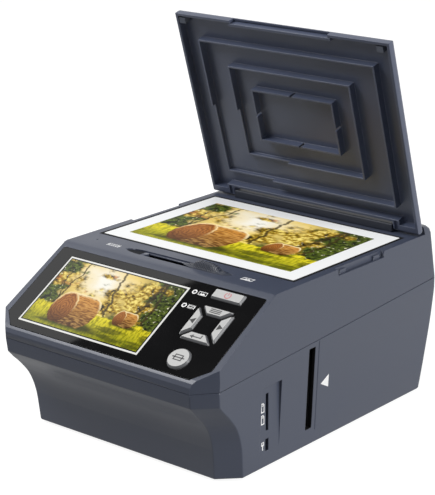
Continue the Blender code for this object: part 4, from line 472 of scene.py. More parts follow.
def meadow(tree, across, up):
    """Return the picture's colour for a place across and up it, both 0 to 1."""
    spot = add_node(tree, "ShaderNodeCombineXYZ", {0: across, 1: up})

    def total(base, *terms):
        """The base plus each value times its weight."""
        for value, weight in terms:
            base = add_node(tree, "ShaderNodeMath", {0: value, 1: weight, 2: base}, operation="MULTIPLY_ADD")
        return base

    def away(value, middle):
        """How far a value lies from its middle, on either side."""
        gap = add_node(tree, "ShaderNodeMath", {0: value, 1: middle}, operation="SUBTRACT")
        return add_node(tree, "ShaderNodeMath", {0: gap}, operation="ABSOLUTE")

    def risen(*ramps):
        """How far all the values have risen, each from a start to an end; a fourth number is its most."""
        share = None
        for value, start, end, *most in ramps:
            ramp = add_node(tree, "ShaderNodeMapRange", {"Value": value, "From Min": start, "From Max": end,
                                                         "To Max": most[0] if most else 1.0})
            if share:
                ramp = add_node(tree, "ShaderNodeMath", {0: ramp, 1: share}, operation="MULTIPLY")
            share = ramp
        return share

    def laid(under, over, *ramps):
        """A colour laid over another as far as the ramps have risen."""
        under, over = (linear(colour) if isinstance(colour, str) else colour for colour in (under, over))
        return add_node(tree, "ShaderNodeMix", {0: risen(*ramps), 6: under, 7: over}, data_type="RGBA")

    def speckle(scale_x, scale_y, detail, seed):
        """Noise from 0 to 1, so many grains across and up the picture; each seed is another pattern."""
        place = add_node(tree, "ShaderNodeMapping", {"Vector": spot, "Location": (0, 0, seed),
                                                     "Scale": (scale_x, scale_y, 1)})
        return add_node(tree, "ShaderNodeTexNoise", {"Vector": place, "Scale": 1.0, "Detail": detail})

    def near(x, y, squash, wide=1.0, length=0.0):
        """Distance from a point, or from a level line that starts there."""
        gap_x = total(-x, (across, 1.0))
        if length:
            along = add_node(tree, "ShaderNodeClamp", {"Value": gap_x, "Min": 0.0, "Max": length})
            gap_x = total(gap_x, (along, -1.0))
        gap = add_node(tree, "ShaderNodeCombineXYZ", {0: total(0.0, (gap_x, 1 / wide)),
                                                      1: total(-y * squash, (up, squash))})
        return add_node(tree, "ShaderNodeVectorMath", {0: gap}, operation="LENGTH").outputs["Value"]

    # the sky, and the leaves round it: gold, then rust on the left and dark green at the sides
    sun = near(0.37, 0.84, 0.66)
    glow = total(sun, (speckle(4.0, 3.0, 3.0, 0.4), 0.30))
    picture = laid("#FFFCF0", "#F6D87A", (glow, 0.20, 0.40))
    picture = laid(picture, "#6A6424", (glow, 0.38, 0.62))
    leaves = speckle(34.0, 26.0, 6.0, 4.1)
    tone = total(0.0, (leaves, 0.6), (speckle(9.0, 8.0, 5.0, 2.7), 0.4))
    gold = laid("#2C260A", "#B28E24", (tone, 0.40, 0.50))
    gold = laid(gold, "#FFE980", (tone, 0.50, 0.60))
    cover = total(speckle(6.5, 5.5, 9.0, 1.3), (risen((sun, 0.12, 0.6)), 0.22))
    picture = laid(picture, gold, (cover, 0.53, 0.63))
    rust = laid("#4A220A", "#D98A3C", (leaves, 0.38, 0.62))
    reach = total(speckle(8.0, 7.0, 7.0, 6.2), (risen((across, 0.0, 0.5)), -0.16))
    picture = laid(picture, rust, (reach, 0.50, 0.58, 0.8))
    deep = laid("#0D130A", "#66762A", (speckle(42.0, 34.0, 6.0, 7.7), 0.38, 0.66))
    beside = away(across, 0.44)
    corner = total(speckle(7.0, 6.0, 8.0, 9.2), (risen((beside, 0.16, 0.52)), 0.32))
    picture = laid(picture, deep, (corner, 0.62, 0.71))
    picture = laid(picture, "#F0EBC8", (speckle(38.0, 30.0, 2.0, 3.9), 0.64, 0.72), (beside, 0.2, 0.4))
    bark = laid("#140E06", "#4A3A1C", (leaves, 0.3, 0.7))
    wave = speckle(2.0, 7.0, 4.0, 8.8)
    for foot, lean, width in TRUNKS:
        line = total(foot - 0.05, (up, lean), (wave, 0.10))
        picture = laid(picture, bark, (away(across, line), width * 1.4, width * 0.6, 0.85))

    # the field, with a ragged far edge, darker towards the viewer and dappled
    edge = total(0.25, (speckle(16.0, 0.0, 6.0, 2.2), 0.14))
    depth = total(edge, (up, -1.0))
    blades = speckle(80.0, 18.0, 6.0, 5.5)
    field = laid("#938E0E", "#F4E432", (blades, 0.36, 0.60))
    field = laid(field, "#6E7A14", (total(depth, (blades, 0.15)), 0.12, 0.34, 0.7))
    dapple = total(speckle(5.0, 13.0, 6.0, 3.3), (risen((across, 0.3, 1.0)), 0.06))
    field = laid(field, "#353B10", (dapple, 0.53, 0.64, 0.7))
    picture = laid(picture, field, (depth, -0.008, 0.012))

    # each bale: its shadow, the straw of its side with a bright rim, and the coil of its face
    strands = speckle(22.0, 60.0, 6.0, 6.6)
    for bale_x, bale_y, radius, length in BALES:
        under = near(bale_x + radius * 0.3, bale_y - radius * 1.45, 2.2, length=length)
        picture = laid(picture, "#23260A", (under, radius * 1.2, radius * 0.5, 0.85))
        ragged = total(-radius * 0.11, (leaves, radius * 0.22))
        lift = total(-bale_y / (radius * 1.5), (up, 1 / (radius * 1.5)))
        body = total(near(bale_x, bale_y, BALE_OVAL, BALE_OVAL, length), (ragged, 1.0))
        straw = laid("#43240A", "#D9943F", (lift, -0.9, 0.9))
        straw = laid(straw, "#E8B566", (strands, 0.45, 0.65, 0.55))
        straw = laid(straw, "#5A2F0E", (strands, 0.50, 0.35, 0.6))
        straw = laid(straw, "#FFEDBA", (body, radius * 0.84, radius * 0.96), (lift, 0.1, 0.7))
        picture = laid(picture, straw, (body, radius * 1.03, radius * 0.97))
        face = total(near(bale_x, bale_y, BALE_OVAL, BALE_OVAL), (ragged, 1.0))
        turns = total(0.0, (face, 34.0 / radius), (leaves, 1.02 / radius))
        rings = add_node(tree, "ShaderNodeMath", {0: turns}, operation="SINE")
        coil = laid("#753E14", "#C07C38", (rings, -1.5, 1.5))
        coil = laid(coil, "#2E1606", (lift, 0.2, -0.9, 0.75))
        coil = laid(coil, "#FFE3A6", (face, radius * 0.86, radius * 0.97), (lift, -0.2, 0.5))
        picture = laid(picture, coil, (face, radius * 1.03, radius * 0.97))
    return picture


def framed(tree, width, height, rings):
    """Picture colour with borders: rings is ((side, top) width in metres, colour), outermost first."""
    place = add_node(tree, "ShaderNodeSeparateXYZ", {0: add_node(tree, "ShaderNodeTexCoord").outputs["UV"]})
    sides = list(zip(place.outputs[:2], (width, height)))
    within = [add_node(tree, "ShaderNodeMapRange", {"Value": value, "From Min": inset / size,
                                                    "From Max": 1 - inset / size})
              for (value, size), inset in zip(sides, rings[-1][0])]
    colour = meadow(tree, *within)
    for insets, code in reversed(rings):
        masks = []
        for (value, size), inset in zip(sides, insets):
            middle = add_node(tree, "ShaderNodeMath", {0: value, 1: 0.5}, operation="SUBTRACT")
            side = add_node(tree, "ShaderNodeMath", {0: middle}, operation="ABSOLUTE")
            masks.append(add_node(tree, "ShaderNodeMath", {0: side, 1: 0.5 - inset / size},
                                  operation="GREATER_THAN"))
        outside = add_node(tree, "ShaderNodeMath", {0: masks[0], 1: masks[1]}, operation="MAXIMUM")
        colour = add_node(tree, "ShaderNodeMix", {0: outside, 6: colour, 7: linear(code)}, data_type="RGBA")
    return colour


def sheet_with_uv(name, width, height, low, high, place, paint, corner=0.0):
    """A thin plate centred on its place, with a UV map from 0 to 1 over its width and height."""
    bm = bmesh.new()
    bmesh.ops.create_cube(bm, size=1.0)
    bmesh.ops.scale(bm, vec=(width, height, high - low), verts=bm.verts)
    bmesh.ops.translate(bm, vec=(0, 0, (high + low) / 2), verts=bm.verts)
    if corner:
        upright = [e for e in bm.edges if abs((e.verts[0].co - e.verts[1].co).z) > (high - low) / 2]
        bmesh.ops.bevel(bm, geom=upright, offset=corner, segments=4, profile=0.5, affect="EDGES")
    layer = bm.loops.layers.uv.new("picture")
    for face in bm.faces:
        for loop in face.loops:
            loop[layer].uv = (loop.vert.co.x / width + 0.5, loop.vert.co.y / height + 0.5)
    bmesh.ops.transform(bm, matrix=place, verts=bm.verts)
    return solid_of(name, bm, paint)


# Screen. A 5 inch panel behind its own glass, lit from behind: a thin white line is printed round
# the picture, with a dark gap inside it. The module behind it is a black metal can.
SCREEN_W = 109.6 * MM
SCREEN_H = 63.0 * MM
SCREEN_MIDDLE = (-24.0, 43.9)
SCREEN_BACK = -0.3 * MM
SCREEN_FACE = -0.1 * MM
LINE_W = 1.3 * MM
LINE_AND_GAP_W = 2.2 * MM
screen_lit, tree, shader = new_material("lcd_behind_glass")
view = framed(tree, SCREEN_W, SCREEN_H, [((LINE_W, LINE_W), "#F2F2EE"),
                                         ((LINE_AND_GAP_W, LINE_AND_GAP_W), "#0B0B0C")])
unlit = add_node(tree, "ShaderNodeMix", {0: 1.0, 6: view, 7: linear("#565656")}, data_type="RGBA",
                 blend_type="MULTIPLY")
plug(tree, shader, {"Base Color": unlit, "Roughness": 0.12, "Emission Color": view,
                    "Emission Strength": 0.85})
screen = sheet_with_uv("screen_picture", SCREEN_W, SCREEN_H, SCREEN_BACK, SCREEN_FACE,
                       on_panel(*SCREEN_MIDDLE), screen_lit)
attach(screen, "case")


def coat(paint, *names):
    """Give CAD nodes a finish."""
    for name in names:
        painted(nodes[name].data, paint)


CAN_CLOUD_W = 16.7 * MM
coat(clouded("blackened_steel_can", "#101011", 0.2, 0.4, CAN_CLOUD_W, 3.0), "screen_module")

# Print. A glossy photograph on resin-coated paper with a white border, lying loose on the glass. In use
# it lies face down, and here face up.
PRINT_W = 172.0 * MM
PRINT_L = 125.8 * MM
PRINT_BORDER = (12.7 * MM, 13.4 * MM)
PRINT_CORNER = 1.0 * MM
print_gloss, tree, shader = new_material("photo_paper_glossy")
view = framed(tree, PRINT_W, PRINT_L, [(PRINT_BORDER, "#F1F2F2")])
plug(tree, shader, {"Base Color": view, "Roughness": 0.4, "Specular IOR Level": 0.03})
low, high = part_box("photo_print")
print_sheet = sheet_with_uv("photo_sheet", PRINT_W, PRINT_L, low.z, high.z,
                            Matrix.Translation((0, (low.y + high.y) / 2, 0)), print_gloss, PRINT_CORNER)
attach(print_sheet, "case")
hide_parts("photo_print")

# Glass and seal. Clear float glass with a faint green body and wiped-on haze, on a thin black rubber
# seal. Only a narrow line of both shows round the print.
HAZE_W = 40.0 * MM
float_glass = clouded("float_glass_clear", "#DDEBE4", 0.01, 0.04, HAZE_W,
                      others={"Transmission Weight": 1.0, "IOR": 1.52})
coat(float_glass, "platen_glass")
BLOOM = 0.012
DUST_W = 3.33 * MM
DUST_DEPTH = 0.1 * MM


def rubber(name, code):
    """Rubber, and the dark sheets of painted shade: dull, with a dusty bloom whose flecks are drawn coarse
    enough to show.
    """
    made, tree, shader = new_material(name)
    where = add_node(tree, "ShaderNodeTexCoord").outputs["Object"]
    dust = add_node(tree, "ShaderNodeTexNoise", {"Vector": where, "Scale": 1 / DUST_W, "Detail": 4.0})
    dusty = tuple(min(1.0, c + BLOOM) for c in linear(code))
    tint = add_node(tree, "ShaderNodeMix", {0: dust, 6: linear(code), 7: dusty}, data_type="RGBA")
    pits = add_node(tree, "ShaderNodeBump", {"Height": dust, "Strength": 0.2, "Distance": DUST_DEPTH})
    plug(tree, shader, {"Base Color": tint, "Normal": pits, "Roughness": 0.78, "Specular IOR Level": 0.15})
    return made


seal_black = rubber("rubber_seal_black", "#0B0B0C")
coat(seal_black, "glass_seal", "key_mat")

# Dark line round the glass. A thin black frame, finished like the seal, over the gap round the glass;
# it draws the dark line round the print. Its lip lies on the deck's edge.
LIP_W = 1.4 * MM
LIP_H = 0.1 * MM
LAP_W = 0.9 * MM


def frame_solid(name, inner, outer, low, high, place, paint):
    """A rectangular frame between two heights; inner and outer are its half width and half length."""
    bm = bmesh.new()
    turns = ((-1, -1), (1, -1), (1, 1), (-1, 1))
    rings = []
    for (half_w, half_l), z in ((inner, low), (outer, low), (outer, high), (inner, high)):
        rings.append([bm.verts.new((sx * half_w, sy * half_l, z)) for sx, sy in turns])
    for near_ring, far_ring in zip(rings, rings[1:] + rings[:1]):
        for k in range(4):
            after = (k + 1) % 4
            bm.faces.new((near_ring[k], far_ring[k], far_ring[after], near_ring[after]))
    bmesh.ops.transform(bm, matrix=place, verts=bm.verts)
    bmesh.ops.recalc_face_normals(bm, faces=bm.faces)
    piece = solid_of(name, bm, paint)
    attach(piece, "case")
    return piece


glass_low, glass_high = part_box("platen_glass")
half_glass = ((glass_high.x - glass_low.x) / 2, (glass_high.y - glass_low.y) / 2)
dark_line_frame = frame_solid("glass_dark_line_frame", [half - LAP_W for half in half_glass],
                     [half + LIP_W for half in half_glass], 0.0, LIP_H,
                     Matrix.Translation((0, (glass_high.y + glass_low.y) / 2, DECK_Z)), seal_black)

# Groove shade, pads and feet. A thin dark leaf lies in the slider's groove at the film end and takes
# the outline of the groove's floor: painted shade, for the shade at the groove's deep end. It has a
# rubber finish; the lid's two pads and the four feet are moulded rubber.
GROOVE_DEPTH = 1.0 * MM
FLOOR_PLAY = 0.05 * MM
SHADE_SHEET_H = 0.12 * MM
SHADE_END_X = -33.5 * MM
groove_shade_finish = rubber("rubber_groove_painted_shade", "#101218")
bm = bmesh.new()
bm.from_mesh(nodes["upper_case"].data)
off_floor = [face for face in bm.faces if face.normal.z < SQUARELY
             or abs(face.calc_center_median().z - DECK_Z + GROOVE_DEPTH) > FLOOR_PLAY]
bmesh.ops.delete(bm, geom=off_floor, context="FACES")
bmesh.ops.bisect_plane(bm, geom=list(bm.verts) + list(bm.edges) + list(bm.faces), plane_co=(SHADE_END_X, 0, 0),
                       plane_no=(1, 0, 0), clear_outer=True)
grown_up = bmesh.ops.extrude_face_region(bm, geom=list(bm.faces))["geom"]
bmesh.ops.translate(bm, vec=(0, 0, SHADE_SHEET_H),
                    verts=[item for item in grown_up if isinstance(item, bmesh.types.BMVert)])
bmesh.ops.recalc_face_normals(bm, faces=bm.faces)
groove_shade_sheet = solid_of("groove_shade_sheet", bm, groove_shade_finish)
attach(groove_shade_sheet, "case")
coat(rubber("rubber_pad_grey", "#5A5F6B"), "lid_pad_left", "lid_pad_right")
coat(rubber("rubber_foot_black", "#161617"), "foot_front_left", "foot_front_right", "foot_back_left",
     "foot_back_right")

# Keys. Light grey ABS caps with a satin face, proud of the bezel by under 2 mm. Their skirts take a
# darker copy of the same grey: painted shade on the caps' sides. Their signs are screen-printed in dark
# grey, black or pale red ink.
KEY_EDGE = 0.15 * MM
KEY_TOP = 0.8
key_face = moulded("abs_key_face_grey", "#BDBDBC", 0.34, 0.42, 0.5, 0.01)
key_side_shade = moulded("abs_key_sides_painted_shade", "#626366", 0.34, 0.42, 0.5, 0.01)
for key in ("power", "menu", "left", "enter", "right", "scan"):
    cap = softened(f"key_{key}", f"key_cap_{key}", f"{key}_key", key_face, KEY_EDGE)
    # faces that don't look out of the panel take the darker copy: painted shade on the caps' sides
    cap.data.materials.append(key_side_shade)
    for face in cap.data.polygons:
        face.material_index = 0 if face.normal.dot(OUT) > KEY_TOP else 1

INK_H = 0.04 * MM
INK_WELD = 0.0005 * MM
TOP_PLAY = 0.1 * MM


def flat_mark(name, outlines, place, paint, body):
    """A thin printed shape just over its place, from outlines in millimetres; one in another is a hole."""
    curve = bpy.data.curves.new(name, "CURVE")
    curve.dimensions = "2D"
    curve.fill_mode = "BOTH"
    curve.extrude = INK_H / 2
    for outline in outlines:
        spline = curve.splines.new("POLY")
        spline.points.add(len(outline) - 1)
        for point, (px, py) in zip(spline.points, outline):
            point.co = (px * MM, py * MM, 0, 1)
        spline.use_cyclic_u = True
    holder = added(name + "_curve", curve)
    bpy.context.view_layer.update()
    mesh = bpy.data.meshes.new_from_object(holder.evaluated_get(bpy.context.evaluated_depsgraph_get()))
    bpy.data.objects.remove(holder)
    bm = bmesh.new()
    bm.from_mesh(mesh)
    bmesh.ops.remove_doubles(bm, verts=bm.verts, dist=INK_WELD)
    bmesh.ops.translate(bm, vec=(0, 0, INK_H), verts=bm.verts)
    bmesh.ops.transform(bm, matrix=place, verts=bm.verts)
    bmesh.ops.recalc_face_normals(bm, faces=bm.faces)
    bm.to_mesh(mesh)
    bm.free()
    mesh.name = name
    painted(mesh, paint)
    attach(added(name, mesh), body)


def block(x, y, w, h):
    """Rectangle outline about its centre."""
    return [(x - w / 2, y - h / 2), (x + w / 2, y - h / 2), (x + w / 2, y + h / 2), (x - w / 2, y + h / 2)]


def disc(x, y, r, sides=28, start=0.0, sweep=360.0):
    """Points round a circle or an arc."""
    steps = sides if sweep >= 360 else sides + 1
    return [(x + r * math.cos(math.radians(start + sweep * k / sides)),
             y + r * math.sin(math.radians(start + sweep * k / sides))) for k in range(steps)]


DOT_W = 1.11 * MM


def mottled(name, dull, fair, roughness, patch, detail=2.0):
    """A material whose colour drifts from dull to fair in soft patches."""
    made, tree, shader = new_material(name)
    where = add_node(tree, "ShaderNodeTexCoord").outputs["Object"]
    cloud = add_node(tree, "ShaderNodeTexNoise", {"Vector": where, "Scale": 1 / patch, "Detail": detail})
    tint = add_node(tree, "ShaderNodeMix", {0: cloud, 6: dull, 7: fair}, data_type="RGBA")
    plug(tree, shader, {"Base Color": tint, "Roughness": roughness})
    return made


def ink(name, code):
    """Screen-printed ink: opaque and even, with the mottle of its mesh, drawn coarse enough to show."""
    return mottled(name, shaded(code, 0.9), linear(code), 0.5, DOT_W, 1.0)


dark_ink = ink("screen_ink_dark_grey", "#38383A")
arrow_ink = ink("screen_ink_black", "#1C1C1D")
red_ink = ink("screen_ink_pale_red", "#C77A7E")
white_ink = ink("screen_ink_white", "#FBFBFB")


def on_key(key):
    """Place at the middle of a key's top, worked out from its solid."""
    solid = nodes[f"key_{key}"]
    spots = [PANEL.inverted() @ solid.matrix_world @ vert.co for vert in solid.data.vertices]
    top = max(spot.z for spot in spots)
    face = [spot for spot in spots if spot.z > top - TOP_PLAY]
    middle = [(min(spot[axis] for spot in face) + max(spot[axis] for spot in face)) / 2 for axis in (0, 1)]
    return PANEL @ Matrix.Translation((middle[0], middle[1], top))


# each sign's outlines are in millimetres from the middle of its key's top
OPEN_RING = {"sides": 24, "start": 125, "sweep": 290}
ring = disc(0, 0, 2.7, **OPEN_RING) + list(reversed(disc(0, 0, 1.95, **OPEN_RING)))
hook = [(-2.2, -1.0), (4.6, -1.0), (4.6, 1.9), (3.8, 1.9), (3.8, -0.2), (-2.2, -0.2)]
signs = [("power", "power_sign_ring", [ring], red_ink),
         ("power", "power_sign_bar", [block(0, 1.4, 0.7, 2.4)], red_ink)]
for row in (-1, 0, 1):
    signs.append(("menu", f"menu_sign_bar_{row + 2}", [block(0, row * 1.35, 9.0, 0.75)], dark_ink))
signs += [("enter", "enter_sign_head", [[(-5.0, -0.6), (-2.2, -2.2), (-2.2, 1.0)]], dark_ink),
          ("enter", "enter_sign_hook", [hook], dark_ink)]
for side, key in ((-1, "left"), (1, "right")):
    arrow = [(side * 2.6, 0), (-side * 1.6, 2.5), (-side * 1.6, -2.5)]
    signs.append((key, f"{key}_arrow", [arrow], arrow_ink))
signs += [("scan", "scan_sign_frame", [block(0, 0, 6.8, 5.0), block(0, 0, 5.2, 3.4)], dark_ink),
          ("scan", "scan_sign_line", [block(0, 0, 10.0, 0.9)], dark_ink)]
for key, name, outlines, paint in signs:
    flat_mark(name, outlines, on_key(key), paint, f"{key}_key")

# Lamps. Two clear pipes carry the light of the key board's diodes; a white ring is printed round each,
# with a small sign beside it: a picture for the upper one and a strip of film for the lower. Places
# and sizes of rings and signs are in millimetres.
FROST_W = 2.5 * MM
coat(clouded("acrylic_pipe_clear", "#3A3C40", 0.05, 0.2, FROST_W), "lamp_pipe_photo", "lamp_pipe_film")


def picture_sign(name, place, w, h):
    """A framed hill and sun."""
    line = h * 0.12
    hill = [(-w * 0.36, -h * 0.32), (w * 0.36, -h * 0.32), (w * 0.12, h * 0.16), (-w * 0.04, -h * 0.1),
            (-w * 0.14, h * 0.05)]
    for part, outlines in (("frame", [block(0, 0, w, h), block(0, 0, w - 2 * line, h - 2 * line)]),
                           ("hill", [hill]), ("sun", [disc(-w * 0.22, h * 0.2, h * 0.09, 14)])):
        flat_mark(f"{name}_{part}", outlines, place, white_ink, "case")


def new_group(name, lengths, finish):
    """A geometry tree with named lengths and a finish to set; returns it and its inputs' sockets."""
    tree = bpy.data.node_groups.new(name, "GeometryNodeTree")
    tree.is_modifier = True
    for label, value in lengths.items():
        made = tree.interface.new_socket(label, in_out="INPUT", socket_type="NodeSocketFloat")
        made.default_value = value
    tree.interface.new_socket(finish, in_out="INPUT", socket_type="NodeSocketMaterial")
    tree.interface.new_socket("Geometry", in_out="OUTPUT", socket_type="NodeSocketGeometry")
    return tree, add_node(tree, "NodeGroupInput").outputs


def repeated(tree, shape, grid, finish):
    """End a geometry tree: the shape stands on each point of a grid, in its finish."""
    points = add_node(tree, "GeometryNodeMeshGrid", grid)
    rows = add_node(tree, "GeometryNodeInstanceOnPoints", {"Points": points, "Instance": shape})
    solid = add_node(tree, "GeometryNodeRealizeInstances", {0: rows})
    coated = add_node(tree, "GeometryNodeSetMaterial", {"Geometry": solid, "Material": finish})
    add_node(tree, "NodeGroupOutput", {0: coated})


# the film sign's sprocket holes are one tree: a row of little squares, repeated above and below
perforations, given = new_group("film_perforations",
                                {"Width": 10.0 * MM, "Height": 4.0 * MM, "Hole": 0.6 * MM}, "Ink")
side = add_node(perforations, "ShaderNodeCombineXYZ", {0: given["Hole"], 1: given["Hole"], 2: INK_H})
hole = add_node(perforations, "GeometryNodeMeshCube", {"Size": side})
repeated(perforations, hole, {"Size X": given["Width"], "Size Y": given["Height"], "Vertices X": 6,
                              "Vertices Y": 2}, given["Ink"])


def grown(name, group, values, place):
    """Run a geometry tree with its named inputs and keep the result as a plain mesh on the case."""
    seed = bpy.data.objects.new(name + "_seed", bpy.data.meshes.new(name + "_seed"))
    modifier = seed.modifiers.new("grow", "NODES")
    modifier.node_group = group
    for item in group.interface.items_tree:
        if item.item_type == "SOCKET" and item.in_out == "INPUT" and item.name in values:
            modifier[item.identifier] = values[item.name]
    scene.collection.objects.link(seed)
    bpy.context.view_layer.update()
    mesh = bpy.data.meshes.new_from_object(seed.evaluated_get(bpy.context.evaluated_depsgraph_get()))
    bpy.data.objects.remove(seed)
    mesh.name = name
    mesh.transform(place)
    piece = added(name, mesh)
    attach(piece, "case")
    return piece


HOLE_LIFT = 0.03 * MM


def film_sign(name, place, w, h):
    """A strip of film: a frame with two rows of sprocket holes."""
    line = h * 0.1
    strip = [block(0, 0, w, h * 0.5), block(0, 0, w - 4 * line, h * 0.5 - 2 * line)]
    flat_mark(name + "_frame", strip, place, white_ink, "case")
    holes = {"Width": w * 0.9 * MM, "Height": h * 0.8 * MM, "Hole": h * 0.16 * MM, "Ink": white_ink}
    grown(name + "_holes", perforations, holes, place @ Matrix.Translation((0, 0, HOLE_LIFT)))


LAMP_X = 36.4
PHOTO_LAMP_S = 14.6
FILM_LAMP_S = 27.2
RING_R = 1.95
RING_HOLE_R = 1.1
PHOTO_ICON_X = 43.4
FILM_ICON_X = 42.7
for lamp_s, name in ((PHOTO_LAMP_S, "photo"), (FILM_LAMP_S, "film")):
    ring = [disc(0, 0, RING_R), disc(0, 0, RING_HOLE_R)]
    flat_mark(f"lamp_ring_{name}", ring, on_panel(LAMP_X, lamp_s), white_ink, "case")
picture_sign("lamp_sign_photo", on_panel(PHOTO_ICON_X, PHOTO_LAMP_S), w=7.2, h=3.2)
film_sign("lamp_sign_film", on_panel(FILM_ICON_X, FILM_LAMP_S), w=6.0, h=3.4)

# Deck signs. The same two signs stand at the ends of the slider's track, printed on the case in the
# same white ink.
DECK_SIGN_Y = -46.3 * MM
FILM_SIGN_X = -60.0 * MM
PHOTO_SIGN_X = 61.2 * MM
film_sign("deck_sign_film", Matrix.Translation((FILM_SIGN_X, DECK_SIGN_Y, DECK_Z)), w=11.0, h=5.0)
picture_sign("deck_sign_photo", Matrix.Translation((PHOTO_SIGN_X, DECK_SIGN_Y, DECK_Z)), w=9.4, h=5.0)

# Side marks. A white arrow head points at the film slot, and small signs beside the sockets show a
# card and a plug. A wall leans from (x, z) at its foot to (x, z) at its top, all in millimetres, and
# the marks lie along it.
OUTER_WALL = ((93.5, 2.0), (97.0, 78.8))
SUNK_WALL = ((93.95, 12.0), (93.75, 60.8))
SIGN_COLUMN_Y = -70.6
CARD_SIGNS_Z = (45.6, 37.2)
PLUG_SIGN_Z = 18.4
ARROW_AT = (-4.2, 44.4)


def on_side(y_mm, z_mm, wall):
    """Place on the right hand side's wall; its x runs to the back and its y up."""
    (foot_x, foot_z), (top_x, top_z) = wall
    lean = math.atan2(top_x - foot_x, top_z - foot_z)
    x = foot_x + (top_x - foot_x) * (z_mm - foot_z) / (top_z - foot_z)
    turn = Matrix(((0, 0, 1, 0), (1, 0, 0, 0), (0, 1, 0, 0), (0, 0, 0, 1)))
    return Matrix.Translation((x * MM, y_mm * MM, z_mm * MM)) @ Matrix.Rotation(lean, 4, "Y") @ turn


arrow = [(-4.7, 0), (4.3, -4.7), (4.3, 4.7)]
flat_mark("film_arrow", [arrow], on_side(*ARROW_AT, OUTER_WALL), white_ink, "case")
card = [(-1.7, -3.4), (1.7, -3.4), (1.7, 2.2), (0.6, 3.4), (-1.7, 3.4)]
card_hollow = [(px * 0.6, py * 0.78) for px, py in card]
for row, card_z in enumerate(CARD_SIGNS_Z):
    place = on_side(SIGN_COLUMN_Y, card_z, SUNK_WALL)
    flat_mark(f"card_sign_{row + 1}", [card, card_hollow], place, white_ink, "case")
    flat_mark(f"card_sign_contacts_{row + 1}", [block(0, 1.6, 1.4, 0.7)], place, white_ink, "case")
place = on_side(SIGN_COLUMN_Y, PLUG_SIGN_Z, SUNK_WALL)
flat_mark("plug_sign", [block(0, 1.5, 2.8, 2.6), block(0, 1.7, 1.4, 1.2)], place, white_ink, "case")
flat_mark("plug_sign_lead", [block(0, -1.4, 0.9, 3.2)], place, white_ink, "case")

# Film channel and optics. Moulded in matt black ABS that swallows stray light, so that the slot looks
# black from outside.
OPTICS_CLOUD_W = 8.33 * MM
deep_black = mottled("abs_matt_black_optics", linear("#030304"), linear("#070709"), 0.75, OPTICS_CLOUD_W,
                     detail=3.0)
coat(deep_black, "film_channel", "film_lamp_case", "optical_tray", "mirror_carrier", "camera_housing",
     "lens_barrel", "slide_carriage")

# Slot shade. A thin black sleeve on the walls of both film slots: painted shade, for the shade inside
# the narrow slots. It leans with the case's walls.
SLOT_MIDDLE = (95.42 * MM, -20.4 * MM, 44.2 * MM)
SLOT_HALF = (3.4 * MM, 29.8 * MM)
SLOT_LEAN = 0.0456
SHADE_SLEEVE_FACE = 0.2 * MM
SHADE_SLEEVE_BACK = 0.05 * MM
SHADE_SLEEVE_FROM = -2.4 * MM
SHADE_SLEEVE_TO = -0.1 * MM
slot_shade_finish = rubber("black_slot_painted_shade", "#050506")
for side, name in ((-1, "left"), (1, "right")):
    stand = Matrix(((0, side * SLOT_LEAN, side, side * SLOT_MIDDLE[0]), (1, 0, 0, SLOT_MIDDLE[1]),
                    (0, 1, 0, SLOT_MIDDLE[2]), (0, 0, 0, 1)))
    slot_shade_sleeve = frame_solid(f"slot_painted_shade_{name}", [half - SHADE_SLEEVE_FACE for half in SLOT_HALF],
                         [half - SHADE_SLEEVE_BACK for half in SLOT_HALF], SHADE_SLEEVE_FROM, SHADE_SLEEVE_TO, stand, slot_shade_finish)

# Boards. Glass-fibre circuit boards with green solder mask over copper, screwed to their posts. The
# tracks stand out as a faint grid, drawn coarse enough to show.
TRACK_W = 6.25 * MM
board_green, tree, shader = new_material("board_green_solder_mask")
where = add_node(tree, "ShaderNodeTexCoord").outputs["Object"]
tracks = add_node(tree, "ShaderNodeTexBrick", {"Vector": where, "Color1": linear("#0B3A1C"),
                                               "Color2": linear("#0F4A24"), "Mortar": linear("#2F8A4C"),
                                               "Scale": 1 / TRACK_W, "Mortar Size": 0.03})
plug(tree, shader, {"Base Color": tracks, "Roughness": 0.35})
coat(board_green, "key_board", "camera_board", "main_board")


# Metal inside: zinc-plated back plate, ground steel pins and shaft, stamped socket shells, and the
# mirror, silvered on its front.
def steel(name, code, low, high, line_mm):
    """Steel with the lines of grinding or rolling, so coarse that they show: line_mm along each axis."""
    made, tree, shader = new_material(name)
    where = add_node(tree, "ShaderNodeTexCoord").outputs["Object"]
    squeeze = add_node(tree, "ShaderNodeMapping", {"Vector": where,
                                                   "Scale": [1 / (size * MM) for size in line_mm]})
    lines = add_node(tree, "ShaderNodeTexNoise", {"Vector": squeeze, "Scale": 1.0, "Detail": 3.0})
    sheen = add_node(tree, "ShaderNodeMapRange", {"Value": lines, "To Min": low, "To Max": high})
    plug(tree, shader, {"Base Color": linear(code), "Roughness": sheen, "Metallic": 1.0})
    return made


coat(steel("zinc_plated_steel", "#A9ADB2", 0.3, 0.5, (16.7, 0.67, 0.67)), "panel_back_plate", "card_socket",
     "data_socket")
coat(steel("ground_steel_rod", "#B8BBC0", 0.15, 0.3, (0.25, 5.0, 5.0)), "hinge_pin_left", "hinge_pin_right",
     "mirror_shaft")
BLOOM_W = 50.0 * MM
silver = clouded("front_silvered_mirror", "#E8ECEE", 0.0, 0.03, BLOOM_W, others={"Metallic": 1.0})
coat(silver, "flip_mirror")

# Lamps inside. The two light bars and the diffuser are opal acrylic, which spreads the light evenly, and
# the lamp board is as white as they are.
OPAL_CLOUD_W = 12.5 * MM
opal = mottled("opal_acrylic", linear("#E4E4E0"), linear("#F0F0EC"), 0.4, OPAL_CLOUD_W)
coat(opal, "light_bar_left", "light_bar_right", "film_lamp_diffuser", "film_lamp_board")

# Case screws. Four zinc-plated screws with crossed recesses, deep in their counterbores under the case.
# The recess is cut by two bars that drop into the head, and the shank starts just inside it.
HEAD_H = 2.0 * MM
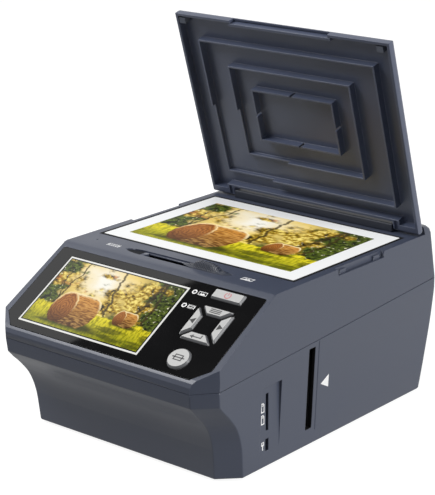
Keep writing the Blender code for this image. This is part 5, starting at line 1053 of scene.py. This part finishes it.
# how far the bars drop, in head heights, and the shank's middle rises, in heights of head and shank
BAR_DROP = -0.55
SHANK_RISE = 0.498
screw_tree, given = new_group("case_screws", {
    "Span X": 175.2 * MM, "Span Y": 193.0 * MM, "Head Radius": 2.6 * MM, "Head Height": HEAD_H,
    "Shank Radius": 1.5 * MM, "Shank Length": 11.0 * MM, "Recess": 0.7 * MM}, "Metal")


def moved_up(shape, size, share):
    """The shape, raised by a share of a size in the screw's tree."""
    height = add_node(screw_tree, "ShaderNodeMath", {0: size, 1: share}, operation="MULTIPLY")
    lift = add_node(screw_tree, "ShaderNodeCombineXYZ", {2: height})
    return add_node(screw_tree, "GeometryNodeTransform", {"Geometry": shape, "Translation": lift})


head = add_node(screw_tree, "GeometryNodeMeshCylinder", {"Vertices": 24, "Radius": given["Head Radius"],
                                                         "Depth": given["Head Height"]})
crossed = add_node(screw_tree, "GeometryNodeMeshBoolean", {0: head}, operation="DIFFERENCE")
for wide, deep in (("Head Radius", "Recess"), ("Recess", "Head Radius")):
    size = add_node(screw_tree, "ShaderNodeCombineXYZ", {0: given[wide], 1: given[deep],
                                                         2: given["Head Height"]})
    bar = add_node(screw_tree, "GeometryNodeMeshCube", {"Size": size})
    plug(screw_tree, crossed, {1: moved_up(bar, given["Head Height"], BAR_DROP)})
shank = add_node(screw_tree, "GeometryNodeMeshCylinder", {"Vertices": 16, "Radius": given["Shank Radius"],
                                                          "Depth": given["Shank Length"]})
both = add_node(screw_tree, "ShaderNodeMath", {0: given["Head Height"], 1: given["Shank Length"]},
                operation="ADD")
whole = add_node(screw_tree, "GeometryNodeJoinGeometry", {0: crossed})
plug(screw_tree, whole, {0: moved_up(shank, both, SHANK_RISE)})
repeated(screw_tree, whole, {"Size X": given["Span X"], "Size Y": given["Span Y"], "Vertices X": 2,
                             "Vertices Y": 2}, given["Metal"])
low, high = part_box("screw_front_left")
far_low, far_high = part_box("screw_back_right")
middle = ((low.x + far_high.x) / 2, (low.y + high.y + far_low.y + far_high.y) / 4, low.z + HEAD_H / 2)
screws = grown("case_screws", screw_tree,
               {"Metal": steel("zinc_plated_screw", "#B4B7BB", 0.25, 0.4, (1.11, 1.11, 1.11))},
               Matrix.Translation(middle))
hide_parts("screw_front_left", "screw_front_right", "screw_back_left", "screw_back_right")
